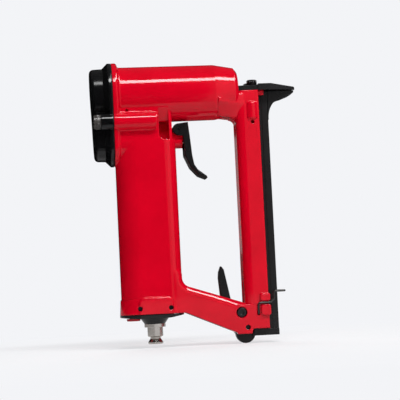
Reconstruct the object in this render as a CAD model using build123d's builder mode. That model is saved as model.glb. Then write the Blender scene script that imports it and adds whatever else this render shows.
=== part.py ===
"""Pneumatic stapler: die-cast housing, rear cap, trigger valve, piston and driver, sliding magazine, latch.

Millimetres. The origin is the middle of the air nipple's free end. X is the way the staple is driven,
Z runs up the grip and Y goes across the tool, which is alike on both sides of Y = 0.
"""
import math
import os

from build123d import *

os.makedirs("parts", exist_ok=True)

# Driving dimensions
axis_z = 178.7  # drive axis above the free end of the air nipple
seam_x = -24.0  # joint of the rear cap
barrel_r = 20.2  # barrel outside
barrel_front_x = 66.8  # front face of the barrel
grip_rear_x = -23.1  # back of the grip
grip_len = 43.1  # grip from back to front
grip_w = 34.0  # grip from side to side
grip_bottom_z = 21.4  # joint of the end plug
frame_x = 64.4  # grip side of the magazine frame
frame_len = 16.6  # frame along X
frame_w = 25.0  # frame from side to side
foot_z = 4.2  # underside of the foot
crown = 9.0  # staple crown
mag_front_x = 88.5  # front of the magazine
nose_x = 108.4  # work end of the nose
plate_t = 4.5  # nose plate thickness
blade_t = 1.2  # driver blade thickness
stroke = 40.0  # piston stroke
valve_travel = 3.5  # head valve travel
pull_deg = 14.0  # trigger pull
latch_deg = 18.0  # latch swing
mag_travel = 134.0  # magazine travel
cap_screw_r = 3.0  # cap screw shank
plate_screw_r = 2.0  # nose plate screw shank
latch_screw_r = 2.0  # latch screw shank
fit = 0.05  # radial gap of a pin, spigot or seal in its hole
run = 0.3  # gap between faces that slide past each other

# Housing, derived
grip_front_x = grip_rear_x + grip_len
grip_mid_x = grip_rear_x + grip_len / 2
gasket_t = 0.6
rear_x = seam_x + gasket_t
rim_over = 3.2
rim_r = barrel_r + rim_over
rim_t = 4.0
rim_front_x = rear_x + rim_t
low_r = grip_w / 2 + 1.2
low_z = axis_z - barrel_r - 12.9
boss_r = 2 * cap_screw_r - 0.1
boss_y = rim_r - boss_r
boss_z = axis_z - barrel_r - 0.4
boss_end_x = rear_x + 30.4
boss_lean = 0.16
boss_round = 0.9
cove_r = 2.0
bite = 0.05
rim_round = 1.8
root_r = 1.6
skirt_half = grip_w / 2 - 0.1
barrel_low_z = axis_z - barrel_r
shoulder_z = barrel_low_z - 14.0
neck_front_x = grip_front_x - 2.4
neck_half = 0.15 * grip_w
pocket_wall = 2.2
pocket_x = boss_end_x + 1.2
frame_front_x = frame_x + frame_len
step_z = foot_z + 3.4
wall = 3.6
flare = 1.2
grip_back_r = 15.0
grip_front_r = 9.0
pad_out = 1.5
pad_round = 1.2
arm_top_z = grip_bottom_z + 19.7
arm_foot_z = foot_z + 21.2
arm_corner_r = 7.0
arm_round = 5.5
cheek_x = barrel_front_x - 15.3
frame_round = 6.0
frame_corner_r = 4.0
plug_r = 13.8
plug_pin_r = 1.6
plug_pin_x = plug_r - 2.9
plug_pin_z = grip_bottom_z + 4.1
drive_axis = Axis((0, 0, axis_z), (1, 0, 0))

# Drive line, derived
bore_r = barrel_r - 2.6
land_r = bore_r - fit
sleeve_out_r = bore_r - 2.0
sleeve_in_r = sleeve_out_r - 1.6
front_wall_x = barrel_front_x - 14.6
sleeve_rear_x = seam_x + 2.2
ring_r = 1.05
piston_r = sleeve_in_r - run
piston_t = 11.0
piston_rear_x = sleeve_rear_x + 3.8
piston_front_x = piston_rear_x + piston_t
guide_r = crown
guide_len = 6.0
blade_half = crown / 2 - 0.05
blade_tip_x = nose_x - 0.4 - stroke
blade_rear_x = piston_rear_x + 2.5
plate_z = axis_z - blade_t / 2 - 0.1
groove_h = blade_t + 0.2
groove_half = crown / 2 + 0.15
plate_top_z = plate_z + plate_t
tang_top_z = plate_top_z - 1.0
head_r = sleeve_out_r + 1.0
cap_bore_r = head_r + run
head_front_x = seam_x
head_rear_x = head_front_x - 6.4
cap_floor_x = head_rear_x - valve_travel - 2.4
cap_rear_x = cap_floor_x - 3.0
cap_flare = 3.7
cap_flange = 2.2
cap_lean = 0.022
cap_draft = 0.044
cap_round = 3.0
notch_x = seam_x - 8.6
screw_len = 26.0
cap_head = 1.75 * cap_screw_r

# Magazine, derived
mag_half = groove_half + 1.1
slide_half = mag_half + run
floor_x = frame_x + 4.9
rail_half = crown / 2 - 0.9
rail_x = floor_x + 2.7
rail_front_x = mag_front_x - 1.4
mag_top_z = plate_z - run
bar_top_z = step_z - 0.7
bar_z = bar_top_z - 4.5
bar_half = mag_half + 1.6
bar_x = floor_x + 0.1
screw_x = frame_front_x - 3.9
screw_y = slide_half + 0.42 * (frame_w / 2 - slide_half)
screw_depth = 9.0
lug_out = 2.2
screw_boss_r = 4.6
screw_boss_out = 2.0
screw_boss_x = screw_x - 1.2
screw_boss_len = 13.3
screw_boss_z = plate_z - 7.9 - screw_boss_len

# Trigger and latch, derived
valve_z = shoulder_z - 0.4
valve_boss_r = 5.0
bush_r = valve_boss_r - 1.35
valve_boss_x = grip_front_x + 5.6
pivot_x = grip_front_x + 2.9
pivot_z = valve_z + 8.1
pivot_pin_r = 1.1
stem_travel = (pivot_z - valve_z) * math.radians(pull_deg)
trigger_in = valve_boss_r + 0.8
trigger_half = trigger_in + 2.0
latch_x = frame_x - 3.1
latch_z = foot_z + 15.3
latch_half = 3.0
latch_gap = latch_half + run
latch_head_r = 1.75 * latch_screw_r
latch_seat = 4.0
stop_r = 1.75
stop_x = latch_x + 4.0
stop_z = latch_z - 10.8
wire_r = 0.75
wire_x = frame_x + 8.9
wire_z = latch_z - 1.5
wire_bar_z = mag_top_z - 10.1 - mag_travel


# Outline of the rim: barrel round and grip round with straight sides between them
def dome_outline(inset):
    with Locations((0, axis_z)):
        Circle(rim_r - inset)
    with Locations((0, low_z)):
        Circle(low_r - inset)
    make_hull()


# Outline of the cap joint: the rim's with an ear round each cap screw
def joint_outline(inset):
    dome_outline(inset)
    with Locations((boss_y, boss_z), (-boss_y, boss_z)):
        Circle(boss_r - inset)


# Outline of the grip, fuller at the back than at the front, and of the plug plate below it
def grip_outline(out):
    with Locations((grip_mid_x - out / 3, 0)):
        Rectangle(grip_len + 1.5 * out, grip_w + out)
    fillet(vertices().group_by(Axis.X)[0], grip_back_r)
    fillet(vertices().group_by(Axis.X)[-1], grip_front_r)


# Outline of the cap's dome behind its flange: barrel round and a grip round with upright sides
def cap_outline(inset):
    with Locations((0, low_z), (0, axis_z - 6)):
        Circle(low_r - inset)
    make_hull()
    with Locations((0, axis_z)):
        Circle(rim_r - inset)
    above = vertices().filter_by(lambda point: point.Y > low_z + 5)
    waist = above.filter_by(lambda point: abs(abs(point.X) - low_r + inset) < 0.01)
    fillet(waist, cap_round)


# Cross section of the cheeks, given down one side
def cheek_section(points):
    Polygon(*points, *[(-y, z) for y, z in reversed(points)], align=None)


# Barrel of the housing, turned about the drive axis, with a round root at the rim
with BuildPart() as barrel_form:
    with BuildSketch(Plane.XZ):
        with BuildLine():
            root = RadiusArc(
                (rim_front_x, axis_z + barrel_r + root_r), (rim_front_x + root_r, axis_z + barrel_r), -root_r
            )
            Polyline(
                root @ 1,
                (barrel_front_x - 17, axis_z + barrel_r - 0.3),
                (barrel_front_x - 2.4, axis_z + barrel_r - 3.0),
                (barrel_front_x, axis_z + barrel_r - 6.0),
                (barrel_front_x, axis_z),
                (rear_x, axis_z),
                (rear_x, axis_z + barrel_r + root_r),
                root @ 0,
            )
        make_face()
    revolve(axis=drive_axis)
    fillet(barrel_form.edges().filter_by(GeomType.CIRCLE).group_by(Axis.X)[-1], 2.2)

# Rim that carries the rear cap, the skirt below it and a coved boss along each cap screw
cove_y = skirt_half - bite + cove_r
cove_z = math.sqrt((boss_r + cove_r - bite) ** 2 - (cove_y - boss_y) ** 2)
with BuildPart() as rim_form:
    with BuildSketch(Plane.YZ.offset(rear_x)):
        joint_outline(0)
    extrude(amount=rim_t)
    fillet(rim_form.faces().sort_by(Axis.X)[-1].edges(), rim_round)
    with BuildSketch(Plane.YZ.offset(rear_x + 1.0)):
        with Locations((boss_y, boss_z), (-boss_y, boss_z)):
            Circle(boss_r)
    extrude(amount=boss_end_x + boss_r - rear_x - 1.0)
    with BuildSketch(Plane.XZ):
        with BuildLine():
            Polyline(
                (boss_end_x - boss_lean * 2 * boss_r, boss_z - 2 * boss_r),
                (boss_end_x + boss_lean * 2 * boss_r, boss_z + 2 * boss_r),
                (boss_end_x + 2 * boss_r, boss_z + 2 * boss_r),
                (boss_end_x + 2 * boss_r, boss_z - 2 * boss_r),
                close=True,
            )
        make_face()
    extrude(amount=2 * rim_r, both=True, mode=Mode.SUBTRACT)
    fillet(rim_form.faces().sort_by(Axis.X)[-2:].edges(), boss_round)
    with BuildSketch(Plane.YZ.offset(rear_x + 1.0)):
        with Locations((0, low_z), (0, axis_z - 12)):
            Circle(skirt_half)
        make_hull()
    extrude(amount=grip_rear_x + grip_back_r + 2 - rear_x - 1.0)
    for side in (1, -1):
        for up in (1, -1):
            middle = Vector(side * cove_y, boss_z + up * cove_z)
            on_wall = Vector(side * (cove_y - cove_r), middle.Y)
            boss_middle = Vector(side * boss_y, boss_z)
            on_boss = middle + (boss_middle - middle).normalized() * cove_r
            deepest = middle + ((on_wall + on_boss) / 2 - middle).normalized() * cove_r
            with BuildSketch(Plane.YZ.offset(rear_x + 1.0)):
                with BuildLine():
                    ThreePointArc(on_wall, deepest, on_boss)
                    Polyline(on_boss, boss_middle, (side * (skirt_half - 2), middle.Y), on_wall)
                make_face()
            extrude(amount=boss_end_x - 3.0 - rear_x - 1.0)

# Grip: flared foot and an arched pad on each side of it
with BuildPart() as grip_form:
    with BuildSketch(Plane.XY.offset(grip_bottom_z)):
        grip_outline(0)
    extrude(amount=axis_z - 8 - grip_bottom_z)
    with BuildSketch(Plane.XY.offset(grip_bottom_z)):
        grip_outline(flare)
    extrude(amount=10.6, taper=4)
    with BuildSketch(Plane.XZ.offset(-grip_w / 2 - pad_out)):
        with Locations((0.5, grip_bottom_z + 6)):
            Rectangle(24.4, 12)
        fillet(vertices().group_by(Axis.Y)[-1], 5)
    extrude(amount=grip_w + 2 * pad_out)
    pad_faces = grip_form.faces().filter_by(Axis.Y).sort_by(Axis.Y)
    pad_edges = pad_faces[0].edges() + pad_faces[-1].edges()
    fillet(pad_edges.filter_by(lambda edge: edge.center().Z > grip_bottom_z + 1), pad_round)
    with BuildSketch(Plane.XZ):
        with Locations((neck_front_x, shoulder_z)):
            Rectangle(20, 40, align=(Align.MIN, Align.MIN))
    extrude(amount=grip_w, both=True, mode=Mode.SUBTRACT)
    for side in (1, -1):
        with BuildSketch(Plane.XZ.offset(side * neck_half)):
            with BuildLine():
                Polyline(
                    (pocket_x, shoulder_z + 2.2),
                    (pocket_x + 2.8, shoulder_z),
                    (neck_front_x - pocket_wall, shoulder_z),
                    (neck_front_x - pocket_wall, axis_z),
                    (pocket_x, axis_z),
                    close=True,
                )
            make_face()
        extrude(amount=side * grip_w, mode=Mode.SUBTRACT)

# Arm from the grip to the foot: it leaves the grip at full width and has a round top
with BuildPart() as arm_form:
    with BuildSketch(Plane.XZ):
        with BuildLine():
            Polyline(
                (grip_mid_x, grip_bottom_z),
                (grip_mid_x, arm_top_z + 10 + grip_len / 2),
                (grip_front_x, arm_top_z + 10),
                (grip_front_x, arm_top_z),
                (frame_x + 2, arm_foot_z),
                (frame_x + 2, foot_z + 1),
                (frame_x - 6.4, foot_z + 1),
                (grip_front_x + 1.4, grip_bottom_z),
                close=True,
            )
        make_face()
        fillet(vertices().sort_by_distance((grip_front_x, arm_top_z))[0], arm_corner_r)
        fillet(vertices().sort_by_distance((grip_front_x, arm_top_z + 10))[0], arm_corner_r + 1)
    extrude(amount=grip_w / 2, both=True)
    with BuildSketch(Plane.XY):
        with BuildLine():
            Polyline(
                (grip_mid_x - 5, -grip_w / 2),
                (grip_front_x - grip_front_r, -grip_w / 2),
                (frame_x - 14.4, -frame_w / 2),
                (frame_x + 8, -frame_w / 2),
                (frame_x + 8, frame_w / 2),
                (frame_x - 14.4, frame_w / 2),
                (grip_front_x - grip_front_r, grip_w / 2),
                (grip_mid_x - 5, grip_w / 2),
                close=True,
            )
        make_face()
        bends = vertices().filter_by(lambda point: grip_mid_x < point.X < frame_x)
        fillet(bends, 2 * grip_len)
    extrude(amount=axis_z, mode=Mode.INTERSECT)
    arm_tops = arm_form.faces().filter_by(
        lambda face: abs(face.normal_at().Y) < 0.05
        and face.normal_at().Z > -0.1
        and face.normal_at().X > -0.5
        and face.center().X < frame_x
    )
    fillet(arm_tops.edges().filter_by(lambda edge: abs(edge.center().Y) > latch_gap), arm_round)

# Magazine frame and foot
with BuildPart() as frame_form:
    with BuildSketch(Plane.XZ):
        with BuildLine():
            Polyline(
                (frame_x, plate_z),
                (frame_front_x, plate_z),
                (frame_front_x, step_z),
                (floor_x - 0.3, step_z),
                (floor_x - 1.3, foot_z),
                (frame_x - 6.4, foot_z),
                (frame_x - 7.4, foot_z + 2.0),
                (frame_x - 7.4, foot_z + 20.8),
                (frame_x, foot_z + 20.8),
                close=True,
            )
        make_face()
    extrude(amount=frame_w / 2, both=True)
    long_edges = frame_form.edges().filter_by(Axis.Z).filter_by(lambda edge: edge.length > 100)
    fillet(long_edges.group_by(Axis.X)[0], frame_round)
    fillet(long_edges.group_by(Axis.X)[-1], 0.8)
    fillet(frame_form.faces().filter_by(Axis.X).sort_by(Axis.X)[0].edges().filter_by(Axis.Z), 2.0)

# Cheeks that carry the barrel's lower sides over into the frame
with BuildPart() as cheek_form:
    with BuildSketch(Plane.YZ.offset(cheek_x)):
        cheek_section([(barrel_r - 0.5, axis_z - 5.2), (barrel_r - 1.7, axis_z - 8.6), (10.4, axis_z - 18.0)])
    with BuildSketch(Plane.YZ.offset(frame_x + 7)):
        side_y = frame_w / 2 - 0.3
        cheek_section([(side_y, plate_z - 1), (side_y, plate_z - 10), (8.6, axis_z - 20.9)])
    loft(ruled=True)
    fillet(cheek_form.edges().filter_by(lambda edge: abs(edge.tangent_at(0.5).X) > 0.5), 1.5)

# Round boss over each nose plate screw
with BuildPart() as screw_boss:
    Cylinder(screw_boss_r, screw_boss_len)
    fillet(screw_boss.edges().filter_by(GeomType.CIRCLE), 2.0)

# Lugs that hold the keeper wire, a pair on each side of the frame
with BuildPart() as lug_form:
    with BuildSketch(Plane.XZ.offset(-frame_w / 2 - lug_out)):
        with Locations((frame_x + 13.9, latch_z + 10.2)):
            RectangleRounded(7.2, 5.6, 1.4)
        with Locations((frame_x + 14.2, latch_z + 1.05)):
            RectangleRounded(7.0, 7.4, 1.4)
    extrude(amount=frame_w + 2 * lug_out)
    fillet(lug_form.faces().filter_by(Axis.Y).edges(), 0.8)

# Housing: one hollow casting
with BuildPart() as main_housing:
    add(grip_form.part)
    add(rim_form.part)
    add(barrel_form.part)
    add(arm_form.part)
    add(frame_form.part)
    add(cheek_form.part)
    for side in (1, -1):
        with Locations((screw_boss_x, side * (frame_w / 2 + screw_boss_out - screw_boss_r),
                        screw_boss_z + screw_boss_len / 2)):
            add(screw_boss.part)
    # rounded inner corner between barrel and frame
    with BuildSketch(Plane.XZ):
        with BuildLine():
            corner = RadiusArc(
                (frame_x, barrel_low_z - frame_corner_r),
                (frame_x - frame_corner_r, barrel_low_z),
                -frame_corner_r,
            )
            Polyline(
                corner @ 1,
                (frame_x - frame_corner_r, barrel_low_z + frame_corner_r),
                (frame_x + frame_corner_r, barrel_low_z + frame_corner_r),
                (frame_x + frame_corner_r, barrel_low_z - frame_corner_r),
                corner @ 0,
            )
        make_face()
    extrude(amount=frame_w / 2 - frame_round, both=True)
    # trigger valve boss and the lug for the trigger pin
    with BuildSketch(Plane.YZ.offset(grip_front_x - 6)):
        with Locations((0, valve_z)):
            Circle(valve_boss_r)
    extrude(amount=valve_boss_x - grip_front_x + 6)
    with BuildSketch(Plane.XZ):
        with Locations((pivot_x, pivot_z)):
            Circle(3.6)
        with Locations((pivot_x - 3.6, pivot_z)):
            Rectangle(7.2, pivot_z - valve_z, align=(Align.MIN, Align.MAX))
        with Locations((grip_front_x - 8, valve_z)):
            Rectangle(pivot_x - grip_front_x + 8, 6.0, align=(Align.MIN, Align.MIN))
    extrude(amount=valve_boss_r - 0.4, both=True)
    add(lug_form.part)
    # lips under the nose plate
    for side in (1, -1):
        with Locations((frame_front_x - 1, side * (slide_half + 1.2), plate_z)):
            Box(5.4, 2.4, 3.4, align=(Align.MIN, Align.CENTER, Align.MAX))
    # barrel bore, driver way and the guide's seat in the front wall
    with Locations((rear_x - 1, 0, axis_z)):
        Cylinder(bore_r, front_wall_x - rear_x + 1, rotation=(0, 90, 0),
                 align=(Align.CENTER, Align.CENTER, Align.MIN), mode=Mode.SUBTRACT)
    with Locations((front_wall_x - 1, 0, axis_z)):
        Cylinder(guide_r + fit, guide_len + 1, rotation=(0, 90, 0),
                 align=(Align.CENTER, Align.CENTER, Align.MIN), mode=Mode.SUBTRACT)
        Box(barrel_front_x - front_wall_x + 2, 2 * groove_half + 1, groove_h + 1,
            align=(Align.MIN, Align.CENTER, Align.CENTER), mode=Mode.SUBTRACT)
    # air chamber in the grip, its way to the cap and the round seat of the end plug
    with BuildSketch(Plane.XY.offset(grip_bottom_z + 13)):
        with Locations((grip_mid_x, 0)):
            RectangleRounded(grip_len - 2 * wall, grip_w - 2 * wall, 8)
    extrude(amount=valve_z - 8 - grip_bottom_z - 13, mode=Mode.SUBTRACT)
    with Locations((0, 0, grip_bottom_z - 1)):
        Cylinder(plug_r + fit, 15, align=(Align.CENTER, Align.CENTER, Align.MIN), mode=Mode.SUBTRACT)
    with Locations((rear_x - 1, 0, low_z - 12)):
        Box(15, 20, barrel_low_z + 4 - low_z + 12,
            align=(Align.MIN, Align.CENTER, Align.MIN), mode=Mode.SUBTRACT)
    # trigger valve bore
    with Locations((grip_rear_x + 14, 0, valve_z)):
        Cylinder(bush_r + fit, grip_len, rotation=(0, 90, 0),
                 align=(Align.CENTER, Align.CENTER, Align.MIN), mode=Mode.SUBTRACT)
    with Locations((pivot_x, 0, pivot_z)):
        Cylinder(pivot_pin_r + fit, 30, rotation=(90, 0, 0), mode=Mode.SUBTRACT)
    # magazine way, open to the front, to the foot and at the nose
    with Locations((floor_x, 0, 0)):
        Box(30, 2 * slide_half, axis_z, align=(Align.MIN, Align.CENTER, Align.MIN), mode=Mode.SUBTRACT)
    # slot for the latch lever through arm, foot and the frame's back wall
    with BuildSketch(Plane.XZ):
        with BuildLine():
            Polyline(
                (latch_x - 17.9, latch_z + 20.5),
                (frame_x - 2, latch_z + 20.5),
                (frame_x - 2, latch_z + 22.5),
                (floor_x + 1, latch_z + 22.5),
                (floor_x + 1, foot_z - 5),
                (latch_x - 9.8, foot_z - 5),
                (latch_x - 9.8, latch_z - 7.5),
                (latch_x - 15.3, latch_z + 7.5),
                close=True,
            )
        make_face()
    extrude(amount=latch_gap, both=True, mode=Mode.SUBTRACT)
    # latch screw, its head's seat and the stop pin
    with Locations((latch_x, 0, latch_z)):
        Cylinder(latch_screw_r + fit, frame_w + 8, rotation=(90, 0, 0), mode=Mode.SUBTRACT)
    with Locations((latch_x, latch_seat - frame_w / 2, latch_z)):
        Cylinder(latch_head_r + 0.4, 8, rotation=(90, 0, 0),
                 align=(Align.CENTER, Align.CENTER, Align.MIN), mode=Mode.SUBTRACT)
    with Locations((stop_x, 0, stop_z)):
        Cylinder(stop_r + fit, frame_w + 8, rotation=(90, 0, 0), mode=Mode.SUBTRACT)
    # cap screws, nose plate screws, plug pins, keeper wire ends
    with Locations((rear_x - 1, boss_y, boss_z), (rear_x - 1, -boss_y, boss_z)):
        Cylinder(cap_screw_r + fit, screw_len + 2, rotation=(0, 90, 0),
                 align=(Align.CENTER, Align.CENTER, Align.MIN), mode=Mode.SUBTRACT)
    with Locations((screw_x, screw_y, plate_z + 1), (screw_x, -screw_y, plate_z + 1)):
        Cylinder(plate_screw_r + fit, screw_depth + 3,
                 align=(Align.CENTER, Align.CENTER, Align.MAX), mode=Mode.SUBTRACT)
    with Locations((-plug_pin_x, 0, plug_pin_z), (plug_pin_x, 0, plug_pin_z)):
        Cylinder(plug_pin_r + fit, grip_w + 8, rotation=(90, 0, 0), mode=Mode.SUBTRACT)
    with Locations((wire_x, 0, wire_z)):
        Cylinder(wire_r + fit, frame_w + 8, rotation=(90, 0, 0), mode=Mode.SUBTRACT)
    for side in (1, -1):
        with Locations((wire_x, side * frame_w / 2, wire_z - wire_r - 0.1)):
            Box(2 * wire_r + 0.2, 3.0, 4.2,
                align=(Align.CENTER, Align.CENTER, Align.MIN), mode=Mode.SUBTRACT)
    # small bleed hole above the near cap screw boss, and a hole below the near nose plate screw's boss
    with Locations((rim_front_x + 5.4, -barrel_r, axis_z - 12.7)):
        Cylinder(0.9, 12, rotation=(90, 0, 0), mode=Mode.SUBTRACT)
    with Locations((screw_boss_x, -frame_w / 2, screw_boss_z - 1.7)):
        Cylinder(1.3, 12, rotation=(90, 0, 0), mode=Mode.SUBTRACT)
main_housing.part.label = "main_housing"
export_step(main_housing.part, "parts/main_housing.step")

# Gasket between housing and rear cap
with BuildPart() as cap_gasket:
    with BuildSketch(Plane.YZ.offset(seam_x)):
        joint_outline(0.5)
        with Locations((0, axis_z)):
            Circle(bore_r, mode=Mode.SUBTRACT)
        with Locations((0, low_z - 12)):
            Rectangle(20, 30, align=(Align.CENTER, Align.MIN), mode=Mode.SUBTRACT)
        with Locations((boss_y, boss_z), (-boss_y, boss_z)):
            Circle(cap_screw_r + run, mode=Mode.SUBTRACT)
    extrude(amount=gasket_t)
cap_gasket.part.label = "cap_gasket"
export_step(cap_gasket.part, "parts/cap_gasket.step")

# Rear cap: flange, flare and drafted dome, with an open notch for each screw head
with BuildPart() as rear_cap:
    with BuildSketch(Plane.YZ.offset(seam_x)):
        joint_outline(0)
    extrude(amount=-cap_flange)
    with BuildSketch(Plane.YZ.offset(seam_x - cap_flange)):
        cap_outline(0)
    with BuildSketch(Plane.YZ.offset(seam_x - cap_flange - cap_flare)):
        cap_outline(cap_flare)
    loft(ruled=True)
    with BuildSketch(Plane.YZ.offset(seam_x - cap_flange)):
        cap_outline(cap_flare)
    with BuildSketch(Plane.YZ.offset(cap_rear_x - cap_round)):
        cap_outline(cap_flare + cap_draft * (seam_x - cap_rear_x))
    loft(ruled=True)
    split(bisect_by=Plane((cap_rear_x, 0, axis_z + barrel_r), z_dir=(1, 0, cap_lean)), keep=Keep.TOP)
    fillet(rear_cap.faces().sort_by(Axis.X)[0].edges(), cap_round)
    with BuildSketch(Plane.YZ.offset(seam_x)):
        with Locations((boss_y, boss_z), (-boss_y, boss_z)):
            Circle(boss_r)
    extrude(amount=notch_x - seam_x)
    with BuildSketch(Plane.YZ.offset(notch_x)):
        with Locations((boss_y, boss_z), (-boss_y, boss_z)):
            Circle(boss_r)
    extrude(amount=-20, mode=Mode.SUBTRACT)
    with BuildSketch(Plane.YZ.offset(seam_x)):
        with Locations((boss_y, boss_z), (-boss_y, boss_z)):
            Circle(cap_screw_r + run)
    extrude(amount=-20, mode=Mode.SUBTRACT)
    with BuildSketch(Plane.YZ.offset(seam_x)):
        with Locations((0, axis_z)):
            Circle(cap_bore_r)
        with Locations((0, low_z)):
            Circle(low_r - cap_flare - 4)
    extrude(amount=cap_floor_x - seam_x, mode=Mode.SUBTRACT)
    with BuildSketch(Plane.YZ.offset(cap_rear_x - 1)):
        with Locations((0, axis_z + 4.5), (0, axis_z), (0, axis_z - 4.5)):
            SlotOverall(12, 2.2)
    extrude(amount=6, mode=Mode.SUBTRACT)
rear_cap.part.label = "rear_cap"
export_step(rear_cap.part, "parts/rear_cap.step")

# Two socket-head screws that hold the rear cap
with BuildPart() as cap_screws:
    with BuildSketch(Plane.YZ.offset(notch_x)):
        with Locations((boss_y, boss_z), (-boss_y, boss_z)):
            Circle(cap_screw_r)
    extrude(amount=rear_x + screw_len - notch_x)
    with BuildSketch(Plane.YZ.offset(notch_x)):
        with Locations((boss_y, boss_z), (-boss_y, boss_z)):
            Circle(cap_screw_r * 5 / 3)
    extrude(amount=-cap_head)
    chamfer(cap_screws.faces().sort_by(Axis.X)[:2].edges(), 0.5)
    with BuildSketch(Plane.YZ.offset(notch_x - cap_head)):
        with Locations((boss_y, boss_z), (-boss_y, boss_z)):
            RegularPolygon(cap_screw_r * 0.83, 6, major_radius=False)
    extrude(amount=cap_screw_r, mode=Mode.SUBTRACT)
cap_screws.part.label = "cap_screws"
export_step(cap_screws.part, "parts/cap_screws.step")

# Cylinder sleeve with two sealed lands and two rows of return-air holes
land_len = 6.6
land_mid_x = front_wall_x - stroke - 1
land_xs = (land_mid_x, front_wall_x - land_len)
seal_r = land_r - ring_r
with BuildPart() as cylinder_sleeve:
    with BuildSketch(Plane.YZ.offset(sleeve_rear_x)):
        with Locations((0, axis_z)):
            Circle(sleeve_out_r)
    extrude(amount=front_wall_x - sleeve_rear_x)
    for land_x in land_xs:
        with BuildSketch(Plane.YZ.offset(land_x)):
            with Locations((0, axis_z)):
                Circle(land_r)
        extrude(amount=land_len)
        with BuildSketch(Plane.YZ.offset(land_x + land_len / 2 - ring_r - 0.2)):
            with Locations((0, axis_z)):
                Circle(land_r + 1)
                Circle(seal_r - ring_r - fit, mode=Mode.SUBTRACT)
        extrude(amount=2 * ring_r + 0.4, mode=Mode.SUBTRACT)
    with BuildSketch(Plane.YZ.offset(sleeve_rear_x)):
        with Locations((0, axis_z)):
            Circle(sleeve_in_r)
    extrude(amount=front_wall_x - sleeve_rear_x, mode=Mode.SUBTRACT)
    for hole_x in (front_wall_x - 28, front_wall_x - 9.5):
        with Locations(Plane((hole_x, 0, axis_z), x_dir=(0, 1, 0), z_dir=(1, 0, 0))):
            with PolarLocations(0, 6):
                Cylinder(1.2, 20, rotation=(0, 90, 0),
                         align=(Align.CENTER, Align.CENTER, Align.MIN), mode=Mode.SUBTRACT)
cylinder_sleeve.part.label = "cylinder_sleeve"
export_step(cylinder_sleeve.part, "parts/cylinder_sleeve.step")

# O-rings on the sleeve's lands
with BuildPart() as sleeve_seals:
    with BuildSketch(Plane.XZ):
        with Locations(*[(land_x + land_len / 2, axis_z + seal_r) for land_x in land_xs]):
            Circle(ring_r)
    revolve(axis=drive_axis)
sleeve_seals.part.label = "sleeve_seals"
export_step(sleeve_seals.part, "parts/sleeve_seals.step")

# Piston with ring groove, blade slot and cross-pin hole
piston_ring_r = sleeve_in_r - fit - ring_r
pin_x = piston_front_x - 2.8
pin_r = 1.5
pin_half = piston_ring_r - ring_r - 1.5
with BuildPart() as piston:
    with BuildSketch(Plane.YZ.offset(piston_rear_x)):
        with Locations((0, axis_z)):
            Circle(piston_r)
    extrude(amount=piston_t)
    chamfer(piston.edges().filter_by(GeomType.CIRCLE), 0.6)
    with BuildSketch(Plane.YZ.offset(piston_rear_x + 2.2)):
        with Locations((0, axis_z)):
            Circle(piston_r + 1)
            Circle(piston_ring_r - ring_r - fit, mode=Mode.SUBTRACT)
    extrude(amount=2 * ring_r + 0.4, mode=Mode.SUBTRACT)
    with Locations((blade_rear_x - fit, 0, axis_z)):
        Box(piston_t, 2 * blade_half + 2 * fit, blade_t + 2 * fit,
            align=(Align.MIN, Align.CENTER, Align.CENTER), mode=Mode.SUBTRACT)
    with Locations((pin_x, 0, axis_z)):
        Cylinder(pin_r + fit, 4 * piston_r, mode=Mode.SUBTRACT)
piston.part.label = "piston"
export_step(piston.part, "parts/piston.step")

# Piston ring
with BuildPart() as piston_ring:
    with BuildSketch(Plane.XZ):
        with Locations((piston_rear_x + 2.4 + ring_r, axis_z + piston_ring_r)):
            Circle(ring_r)
    revolve(axis=drive_axis)
piston_ring.part.label = "piston_ring"
export_step(piston_ring.part, "parts/piston_ring.step")

# Driver blade and the pin that holds it in the piston
with BuildPart() as driver_blade:
    with BuildSketch(Plane.XY.offset(axis_z - blade_t / 2)):
        with Locations((blade_rear_x, 0)):
            Rectangle(blade_tip_x - blade_rear_x, 2 * blade_half, align=(Align.MIN, Align.CENTER))
        chamfer(vertices(), 0.6)
        with Locations((pin_x, 0)):
            Circle(pin_r + fit, mode=Mode.SUBTRACT)
    extrude(amount=blade_t)
driver_blade.part.label = "driver_blade"
export_step(driver_blade.part, "parts/driver_blade.step")

with BuildPart() as driver_pin:
    with Locations((pin_x, 0, axis_z)):
        Cylinder(pin_r, 2 * pin_half)
driver_pin.part.label = "driver_pin"
export_step(driver_pin.part, "parts/driver_pin.step")

# Rubber bumper that ends the stroke, and the steel driver guide in the front wall
bumper_x = piston_front_x + stroke + run
with BuildPart() as piston_bumper:
    with BuildSketch(Plane.YZ.offset(bumper_x)):
        with Locations((0, axis_z)):
            Circle(sleeve_in_r - 1.6)
    extrude(amount=front_wall_x - fit - bumper_x)
    with BuildSketch(Plane.YZ.offset(front_wall_x - 6)):
        with Locations((0, axis_z)):
            Circle(sleeve_in_r - fit)
    extrude(amount=6 - fit)
    fillet(piston_bumper.faces().sort_by(Axis.X)[0].edges(), 1.5)
    with Locations((bumper_x - 1, 0, axis_z)):
        Box(60, 2 * groove_half + 1, groove_h + 1,
            align=(Align.MIN, Align.CENTER, Align.CENTER), mode=Mode.SUBTRACT)
piston_bumper.part.label = "piston_bumper"
export_step(piston_bumper.part, "parts/piston_bumper.step")

with BuildPart() as driver_guide:
    with BuildSketch(Plane.YZ.offset(front_wall_x)):
        with Locations((0, axis_z)):
            Circle(guide_r)
            Rectangle(2 * groove_half, groove_h, mode=Mode.SUBTRACT)
    extrude(amount=guide_len - fit)
driver_guide.part.label = "driver_guide"
export_step(driver_guide.part, "parts/driver_guide.step")

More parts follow.
